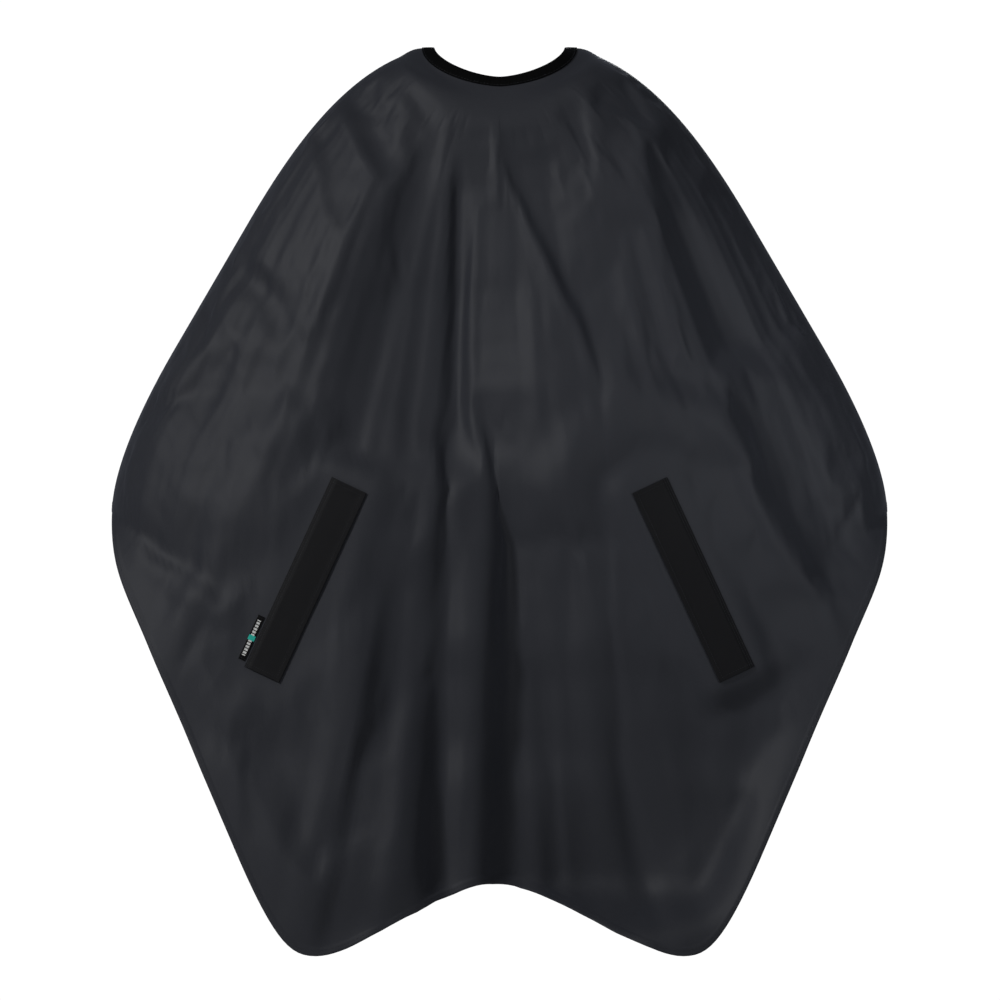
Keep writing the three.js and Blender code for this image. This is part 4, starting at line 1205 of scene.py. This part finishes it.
def flap_middle(across, along, phase):
    """Height of the middle of a flap's cloth over the cape, from its sewn edge to its free one."""
    from_seam = across + FLAP_EDGE
    rise = FLAP_SEAT + FLAP_RISE * smooth(from_seam / (FLAP_SEAM + 1.5))
    rise = rise - FLAP_DROP * smooth((from_seam - 22.0) / 27.0)
    wave = sum(high * np.sin(along / long + turns * phase) for high, long, turns in FLAP_WAVES)
    return rise + wave * smooth(from_seam / 20.0)


def flap_half(across, along):
    """Half the thickness of a flap's cloth, thicker in its hem and pulled in along its stitches."""
    from_edge = np.minimum(FLAP_EDGE - across, FLAP_END - np.abs(along))
    hem = smooth(FLAP_HEM - from_edge + 0.5)
    hem_seam = np.exp(-(((from_edge - FLAP_HEM_SEAM) / 0.7) ** 2))
    root_seam = np.exp(-(((across + FLAP_EDGE - FLAP_SEAMS[1]) / 0.8) ** 2))
    return FLAP_PLY + FLAP_HEM_PLY * hem - FLAP_DENT * np.minimum(hem_seam + root_seam, 1.0)


def make_hand_flap(side):
    rim, inner = FLAP_EDGE - FLAP_RIM, FLAP_EDGE - 1.0
    wide = np.unique(np.concatenate([[-FLAP_EDGE, -rim, rim, FLAP_EDGE], np.linspace(-inner, inner, 52)]))
    rim, inner = FLAP_END - FLAP_RIM, FLAP_END - 1.0
    long = np.concatenate([[-FLAP_END, -rim], np.linspace(-inner, inner, 200), [rim, FLAP_END]])
    across, along = np.meshgrid(wide, long)
    middle, half = flap_middle(across, along, FLAP_PHASES[side]), flap_half(across, along)
    inside = np.minimum(FLAP_EDGE - np.abs(across), FLAP_END - np.abs(along))
    half = half * np.sqrt(np.maximum(0.12, 1.0 - (1.0 - np.minimum(inside / FLAP_RIM, 1.0)) ** 2))
    top = in_frame(SLITS[side], across, along, middle + half)
    under = in_frame(SLITS[side], across, along, middle - half)
    rings = np.concatenate([top, under[:, ::-1]], axis=1)
    return sweep_piece(f"{dict(SIDES)[side]}_flap_cloth", rings, finishes()["FlapCloth"])


def seam_line(start, end, count):
    return np.stack([np.linspace(start[k], end[k], count) for k in range(2)], axis=-1)


def flap_stitch_lines(side):
    edge, root, end = FLAP_EDGE - FLAP_HEM_SEAM, -FLAP_EDGE + FLAP_SEAMS[0], FLAP_END - FLAP_HEM_SEAM
    seams = [np.concatenate([
        seam_line((root, -end), (edge, -end), 20), seam_line((edge, -end), (edge, end), 90),
        seam_line((edge, end), (root, end), 20),
    ])]
    for from_seam in FLAP_SEAMS:
        across, end = -FLAP_EDGE + from_seam, FLAP_END - 1.5
        seams.append(seam_line((across, -end), (across, end), 90))
    lines = []
    for across, along in (seam.T for seam in seams):
        height = flap_middle(across, along, FLAP_PHASES[side]) + flap_half(across, along)
        lines.append(in_frame(SLITS[side], across, along, height + ON_TOP))
    return lines


LABEL_EDGE = -FLAP_EDGE - LABEL_GAP
LABEL_CENTRE = -LABEL_DOWN * SLITS[-1]["up"]
LABEL_MIDDLE = 1.32        # height of the middle of the folded ribbon, and of the top of its upper leaf
LABEL_TOP = 1.5
LABEL_WAVE = (0.05, 4.1)
LABEL_SEAM = (27.8, 1.82)  # its stitches: how far from the middle, and their height
# Section of the folded ribbon: distance from the flap's side and height
LABEL_SECTION = (
    (0.0, 1.72), (0.6, 1.8), (3.0, 1.8), (6.0, 1.8), (8.0, 1.77), (8.7, 1.65), (9.0, 1.32), (8.7, 1.0),
    (8.0, 0.88), (4.0, 0.85), (0.6, 0.85), (0.0, 0.92),
)


def make_side_label():
    half = LABEL_LENGTH / 2.0
    middle = np.linspace(-half + 0.6, half - 0.6, 60)
    along = np.concatenate([[-half, -half + 0.2], middle, [half - 0.2, half]])
    soften = np.where(np.abs(along) > half - 0.1, 0.6, 1.0)
    rings = []
    for across, out in LABEL_SECTION:
        wave = LABEL_WAVE[0] * np.sin(along / LABEL_WAVE[1]) * (out > LABEL_TOP)
        height = LABEL_MIDDLE + (out - LABEL_MIDDLE) * soften + wave
        rings.append(in_frame(SLITS[-1], LABEL_EDGE - across, LABEL_CENTRE + along, height))
    label = sweep_piece("side_label_ribbon", np.stack(rings, axis=1), finishes()["LabelCloth"])
    ribbon = label.data.attributes.new("ribbon", "FLOAT_VECTOR", "POINT")
    section = np.array(LABEL_SECTION)
    across, run = np.meshgrid(section[:, 0] / LABEL_WIDTH, (along + half) / LABEL_LENGTH)
    face = np.broadcast_to(section[:, 1] > LABEL_TOP, across.shape)
    ribbon.data.foreach_set("vector", np.stack([across, run, face], axis=-1).astype(np.float32).ravel())
    return label


def label_stitch_lines():
    across, (far, height) = np.linspace(LABEL_EDGE - 8.0, LABEL_EDGE - 1.0, 8), LABEL_SEAM
    return [in_frame(SLITS[-1], across, LABEL_CENTRE + end * far, height) for end in (-1.0, 1.0)]


# The closure strap, along the binding from the snaps' frame: its place from the nape, its two ends, where it
# ramps down to its sewn root, its lowest height, half width and half thickness
STRAP_PLACE = 22.0
STRAP_ROOT = 38.3
STRAP_TIP = -15.3
STRAP_RAMP = (18.5, 36.5)
STRAP_LOW = 2.92
STRAP_HALF = 6.45
STRAP_PLY = 0.84
STRAP_TIP_STEPS = (0.02, 0.15, 0.4, 0.8, 1.4, 2.2, 3.2, 4.4, 5.4)
STRAP_SQUARE = (0.35, 0.45)  # how square its section is, across and in thickness
STRAP_SEAM = 1.9
STRAP_BAR = (4.5, 2.2)     # the bar of stitches at its root: half length and distance from the end


def nape_frame():
    """Frame of the closed snaps: x along the binding to the right, out from the neck and up the binding."""
    low, high = 90.0, 180.0
    for _ in range(40):
        middle = (low + high) / 2.0
        column = np.array([middle])
        x = abs(float(cloth_point(np.array([-1.0]), column, neckline_radius(column))[0, 0]))
        low, high = (middle, high) if x > STRAP_PLACE else (low, middle)
    top, down, out = (v[0] for v in collar_frame(np.array([-1.0]), np.array([(low + high) / 2.0])))
    origin = top + down * BAND_HEIGHT / 2.0
    return {"origin": origin, "across": unit(np.cross(out, -down)), "along": -down, "out": out}


def strap_height(x):
    down = smooth((x - STRAP_RAMP[0]) / (STRAP_RAMP[1] - STRAP_RAMP[0]))
    return STRAP_LOW + (SNAP_CLOSURE_HEIGHT - STRAP_LOW) * (1.0 - down)


def strap_half_width(x):
    round_end = np.clip((STRAP_TIP + STRAP_HALF - x) / STRAP_HALF, 0.0, 0.999)
    return STRAP_HALF * np.sqrt(1.0 - round_end ** 2)


def make_closure_strap():
    nape = nape_frame()
    x = np.concatenate([STRAP_TIP + np.array(STRAP_TIP_STEPS), np.linspace(STRAP_TIP + 6.5, STRAP_ROOT, 46)])
    turn = np.linspace(0.0, 2.0 * math.pi, 28, endpoint=False)
    circle = zip((np.cos(turn), np.sin(turn)), STRAP_SQUARE)
    wide, high = (np.sign(v) * np.abs(v) ** power for v, power in circle)
    across, out = strap_half_width(x)[:, None] * wide, strap_height(x)[:, None] + STRAP_PLY * high
    rings = in_frame(nape, x[:, None], across, out)
    return sweep_piece("closure_strap", rings, finishes()["BindingTape"])


def strap_stitch_lines():
    nape = nape_frame()
    x = np.linspace(STRAP_TIP + 2.0, STRAP_ROOT - 2.0, 60)
    half = np.maximum(strap_half_width(x - STRAP_SEAM) - STRAP_SEAM, 0.0)
    height = strap_height(x) + STRAP_PLY + ON_TOP
    there, back = in_frame(nape, x, half, height), in_frame(nape, x, -half, height)
    across = np.linspace(-STRAP_BAR[0], STRAP_BAR[0], 10)
    bar = in_frame(nape, STRAP_ROOT - STRAP_BAR[1], across, STRAP_LOW + STRAP_PLY + ON_TOP)
    return [np.concatenate([there[::-1], back]), bar]


# ---- What the user may change ---------------------------------------------------------------------


def colour_property(name, description, default):
    return bpy.props.FloatVectorProperty(
        name=name, description=description, default=default, size=3, min=0.0, max=1.0, subtype="COLOR"
    )


class CapeDrape(bpy.types.PropertyGroup):
    """How the cloth hangs."""

    fold_depth: bpy.props.FloatProperty(
        name="Fold depth", description="Depth of the long folds, 1 as draped on a seated wearer", default=1.0,
        min=0.0, max=1.6
    )
    crumple_depth: bpy.props.FloatProperty(
        name="Crumple depth", description="Depth of the small creases on the arms", default=1.0,
        min=0.0, max=2.0
    )
    settle: bpy.props.BoolProperty(
        name="Settle", description="Let the cloth settle under its own weight by simulation", default=True
    )


class CapeFinish(bpy.types.PropertyGroup):
    """Colours of the cape's materials."""

    cloth: colour_property("Cloth", "Darker tone of the cape cloth", (0.0225, 0.0240, 0.0305))
    cloth_pale: colour_property("Cloth highlight", "Lighter tone of the cape cloth", (0.0310, 0.0330, 0.0410))
    sheen: bpy.props.FloatProperty(
        name="Sheen", description="Soft sheen of the cape cloth", default=0.22, min=0.0, max=1.0
    )
    weave: bpy.props.FloatProperty(
        name="Weave", description="Spacing of the yarns in millimetres", default=0.8, min=0.2, max=3.0
    )
    flap: colour_property("Flaps", "Hand flaps and slit bindings", (0.0038, 0.0037, 0.0046))
    tape: colour_property("Tape", "Neck binding, strap and label ground", (0.0007, 0.0007, 0.0008))
    thread: colour_property("Thread", "Stitches", (0.009, 0.009, 0.0105))
    label_dash: colour_property("Label dashes", "Pale weft of the label", (0.72, 0.72, 0.70))
    label_stripe: colour_property("Label stripe", "Plain stripe across the label", (0.03, 0.50, 0.40))
    snap: colour_property("Snaps", "Moulded snap fasteners", (0.008, 0.008, 0.009))


class CapeStage(bpy.types.PropertyGroup):
    """Camera, light and floor."""

    lens: bpy.props.FloatProperty(
        name="Lens", description="Focal length of the camera in millimetres", default=600.0, min=50.0
    )
    view_width: bpy.props.FloatProperty(
        name="View width", description="Width that the camera takes in at the cape", default=1.25,
        min=0.2, unit="LENGTH"
    )
    light: bpy.props.FloatProperty(
        name="Light", description="Strength of the studio lights", default=1.0, min=0.0, max=5.0
    )
    drop: bpy.props.FloatProperty(
        name="Floor", description="Distance from the cape's lowest point down to the floor", default=0.16,
        min=0.01, unit="LENGTH"
    )


# ---- Operators ------------------------------------------------------------------------------------


class CAPE_OT_cloth(bpy.types.Operator):
    """Make the draped cloth of the cape"""

    bl_idname = "cape.cloth"
    bl_label = "Cape cloth"

    def execute(self, context):
        cape = make_cape_cloth()
        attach(cape, "cape")
        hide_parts("cape_panel")
        return {"FINISHED"}


class CAPE_OT_binding(bpy.types.Operator):
    """Make the folded tape round the neck opening"""

    bl_idname = "cape.binding"
    bl_label = "Neck binding"

    def execute(self, context):
        binding = make_neck_binding()
        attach(binding, "cape")
        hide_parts("neckband")
        return {"FINISHED"}


class CAPE_OT_slit_bindings(bpy.types.Operator):
    """Make the facings behind the two hand slits"""

    bl_idname = "cape.slit_bindings"
    bl_label = "Slit facings"

    def execute(self, context):
        for side, name in SIDES:
            facing = make_slit_facing(side)
            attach(facing, "cape")
            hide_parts(f"{name}_slit_facing")
        return {"FINISHED"}


class CAPE_OT_hand_flaps(bpy.types.Operator):
    """Make the two flaps that cover the hand slits"""

    bl_idname = "cape.hand_flaps"
    bl_label = "Hand flaps"

    def execute(self, context):
        for side, name in SIDES:
            flap = make_hand_flap(side)
            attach(flap, f"{name}_flap")
            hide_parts(f"{name}_hand_flap")
        return {"FINISHED"}


class CAPE_OT_side_label(bpy.types.Operator):
    """Make the woven label beside the left flap"""

    bl_idname = "cape.side_label"
    bl_label = "Side label"

    def execute(self, context):
        label = make_side_label()
        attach(label, "label")
        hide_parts("side_label")
        return {"FINISHED"}


class CAPE_OT_closure(bpy.types.Operator):
    """Make the strap that closes the neck"""

    bl_idname = "cape.closure"
    bl_label = "Closure strap"

    def execute(self, context):
        strap = make_closure_strap()
        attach(strap, "closure")
        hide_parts("closure_tab")
        return {"FINISHED"}


class CAPE_OT_snaps(bpy.types.Operator):
    """Give the snap fasteners their moulded plastic"""

    bl_idname = "cape.snaps"
    bl_label = "Snaps"

    def execute(self, context):
        plastic = finishes()["SnapPlastic"]
        for name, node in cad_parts.items():
            if name.startswith("snap_"):
                for place in node.material_slots:
                    place.material = plastic
        return {"FINISHED"}


class CAPE_OT_stitches(bpy.types.Operator):
    """Lay the stitches of the hems, binding, flaps, facings, strap and label"""

    bl_idname = "cape.stitches"
    bl_label = "Stitches"

    def execute(self, context):
        rows = (
            ("cape_stitches", "cape", hem_stitch_lines() + binding_stitch_lines(), 4.2, 3.0, 0.5),
            ("slit_stitches", "cape", facing_stitch_lines(-1) + facing_stitch_lines(1), 3.2, 2.4, 0.45),
            ("left_flap_stitches", "left_flap", flap_stitch_lines(-1), 3.2, 2.4, 0.45),
            ("right_flap_stitches", "right_flap", flap_stitch_lines(1), 3.2, 2.4, 0.45),
            ("label_stitches", "label", label_stitch_lines(), 1.6, 1.3, 0.3),
            ("strap_stitches", "closure", strap_stitch_lines(), 2.4, 1.8, 0.4),
        )
        for name, body, lines, pitch, length, thickness in rows:
            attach(stitch_piece(name, lines, pitch, length, thickness), body)
        return {"FINISHED"}


AIM = (0.0, -0.1, -0.45)
# Name, place, aim, sides in metres (or a spot's spread in degrees), power in watts and colour of each light
LIGHTS = (
    ("KeyLight", (-3.5, -3.0, 1.75), AIM, (0.7, 1.0), 100.0, (0.985, 0.99, 1.0)),
    ("FillLight", (0.2, -5.2, 0.8), AIM, (1.6, 2.0), 8.0, (0.93, 0.96, 1.0)),
    ("KickLight", (2.3, -3.2, 0.1), (0.44, 0.0, -0.42), 17.5, 165.0, (0.93, 0.96, 1.0)),
    ("TopLight", (0.6, -1.9, 2.4), (0.0, -0.1, -0.2), (1.2, 0.8), 10.0, (0.97, 0.98, 1.0)),
    ("BackLight", (0.3, 4.8, 1.0), (0.0, 0.1, -0.4), (0.9, 0.9), 55.0, (0.96, 0.98, 1.0)),
)
SPOT_SIZE = 0.3
WORLD_SEEN = 1.05          # brightness of the plain backdrop
WORLD_LIGHT = 0.05         # and of the light that it casts
WORLD_TINT = (0.93, 0.96, 1.0, 1.0)

VIEW_CENTRE = (0.0006, 0.0, -0.56625)
VIEW_PLANE = -0.07         # the view width is measured at this y
SENSOR = 36.0
FLOOR_REACH = 3.0


def add_light(name, place, aim, size, power, colour):
    spot = isinstance(size, float)
    data = bpy.data.lights.new(name, "SPOT" if spot else "AREA")
    if spot:
        data.spot_size = math.radians(size)
        data.spot_blend = 1.0
        data.shadow_soft_size = SPOT_SIZE
    else:
        data.shape = "RECTANGLE"
        data.size, data.size_y = size
    data.energy = power * bpy.context.scene.cape_stage.light
    data.color = colour
    light = bpy.data.objects.new(name, data)
    light.location = place
    light.rotation_euler = (Vector(aim) - Vector(place)).to_track_quat("-Z", "Y").to_euler()
    bpy.context.scene.collection.objects.link(light)


def make_world():
    """A white studio: the camera sees plain white, and the cloth is lit by a dimmer grey."""
    world = bpy.data.worlds.new("Studio")
    bpy.context.scene.world = world
    world.use_nodes = True
    tree = world.node_tree
    seen = tree.nodes["Background"]
    seen.inputs["Color"].default_value = (1.0, 1.0, 1.0, 1.0)
    seen.inputs["Strength"].default_value = WORLD_SEEN
    lit = add_node(tree, "ShaderNodeBackground", {"Strength": WORLD_LIGHT, "Color": WORLD_TINT})
    path = tree.nodes.new("ShaderNodeLightPath")
    mix = tree.nodes.new("ShaderNodeMixShader")
    tree.links.new(path.outputs["Is Camera Ray"], mix.inputs[0])
    tree.links.new(lit.outputs[0], mix.inputs[1])
    tree.links.new(seen.outputs[0], mix.inputs[2])
    tree.links.new(mix.outputs[0], tree.nodes["World Output"].inputs["Surface"])


def floor_material():
    material, tree, shader = new_material("PaleFloor", Roughness=0.85, Specular_IOR_Level=0.2)
    grain, = noises(tree, FLOOR_GRAIN)
    grey = mixed_colour(tree, grain, (0.80, 0.80, 0.80), (0.84, 0.84, 0.84))
    tree.links.new(grey, shader.inputs["Base Color"])
    return material


class CAPE_OT_stage(bpy.types.Operator):
    """Set up the camera, the studio light and the floor"""

    bl_idname = "cape.stage"
    bl_label = "Stage"

    def execute(self, context):
        scene = context.scene
        stage = scene.cape_stage
        camera = bpy.data.objects.new("Camera", bpy.data.cameras.new("Camera"))
        camera.data.lens = stage.lens
        camera.data.sensor_width = SENSOR
        far = stage.view_width * stage.lens / SENSOR
        camera.location = Vector(VIEW_CENTRE) + Vector((0.0, -far + VIEW_PLANE, 0.0))
        camera.rotation_euler = (math.radians(90.0), 0.0, 0.0)
        camera.data.clip_end = far * 4.0
        scene.collection.objects.link(camera)
        scene.camera = camera
        scene.view_settings.view_transform = "Standard"
        scene.view_settings.look = "None"
        make_world()
        low = CAD_LOW.z - stage.drop
        mesh = bpy.data.meshes.new("studio_floor")
        turns = np.linspace(0.0, 2.0 * math.pi, 64, endpoint=False)
        around = [(FLOOR_REACH * math.cos(t), FLOOR_REACH * math.sin(t), low) for t in turns]
        mesh.from_pydata(around, [], [tuple(range(len(around)))])
        mesh.materials.append(floor_material())
        ground = bpy.data.objects.new("studio_floor", mesh)
        scene.collection.objects.link(ground)
        for light in LIGHTS:
            add_light(*light)
        return {"FINISHED"}


STEPS = (
    CAPE_OT_cloth, CAPE_OT_binding, CAPE_OT_slit_bindings, CAPE_OT_hand_flaps, CAPE_OT_side_label,
    CAPE_OT_closure, CAPE_OT_snaps, CAPE_OT_stitches, CAPE_OT_stage,
)
GROUPS = (("cape_drape", CapeDrape), ("cape_finish", CapeFinish), ("cape_stage", CapeStage))


class CAPE_PT_panel(bpy.types.Panel):
    """Lists the steps that make the cape and what may be changed"""

    bl_idname = "CAPE_PT_panel"
    bl_label = "Barber Cape"
    bl_space_type = "VIEW_3D"
    bl_region_type = "UI"
    bl_category = "Barber Cape"

    def draw(self, context):
        for step in STEPS:
            self.layout.operator(step.bl_idname)
        for name, kind in GROUPS:
            column = self.layout.column()
            column.label(text=kind.__doc__)
            for key in kind.__annotations__:
                column.prop(getattr(context.scene, name), key)


def register():
    for kind in (*(group for _, group in GROUPS), *STEPS, CAPE_PT_panel):
        bpy.utils.register_class(kind)
    for name, kind in GROUPS:
        setattr(bpy.types.Scene, name, bpy.props.PointerProperty(type=kind))


def unregister():
    for name, _ in GROUPS:
        delattr(bpy.types.Scene, name)
    for kind in reversed((*(group for _, group in GROUPS), *STEPS, CAPE_PT_panel)):
        bpy.utils.unregister_class(kind)


def main():
    register()
    for step in STEPS:
        group, _, action = step.bl_idname.partition(".")
        getattr(getattr(bpy.ops, group), action)()


if __name__ == "__main__":
    main()
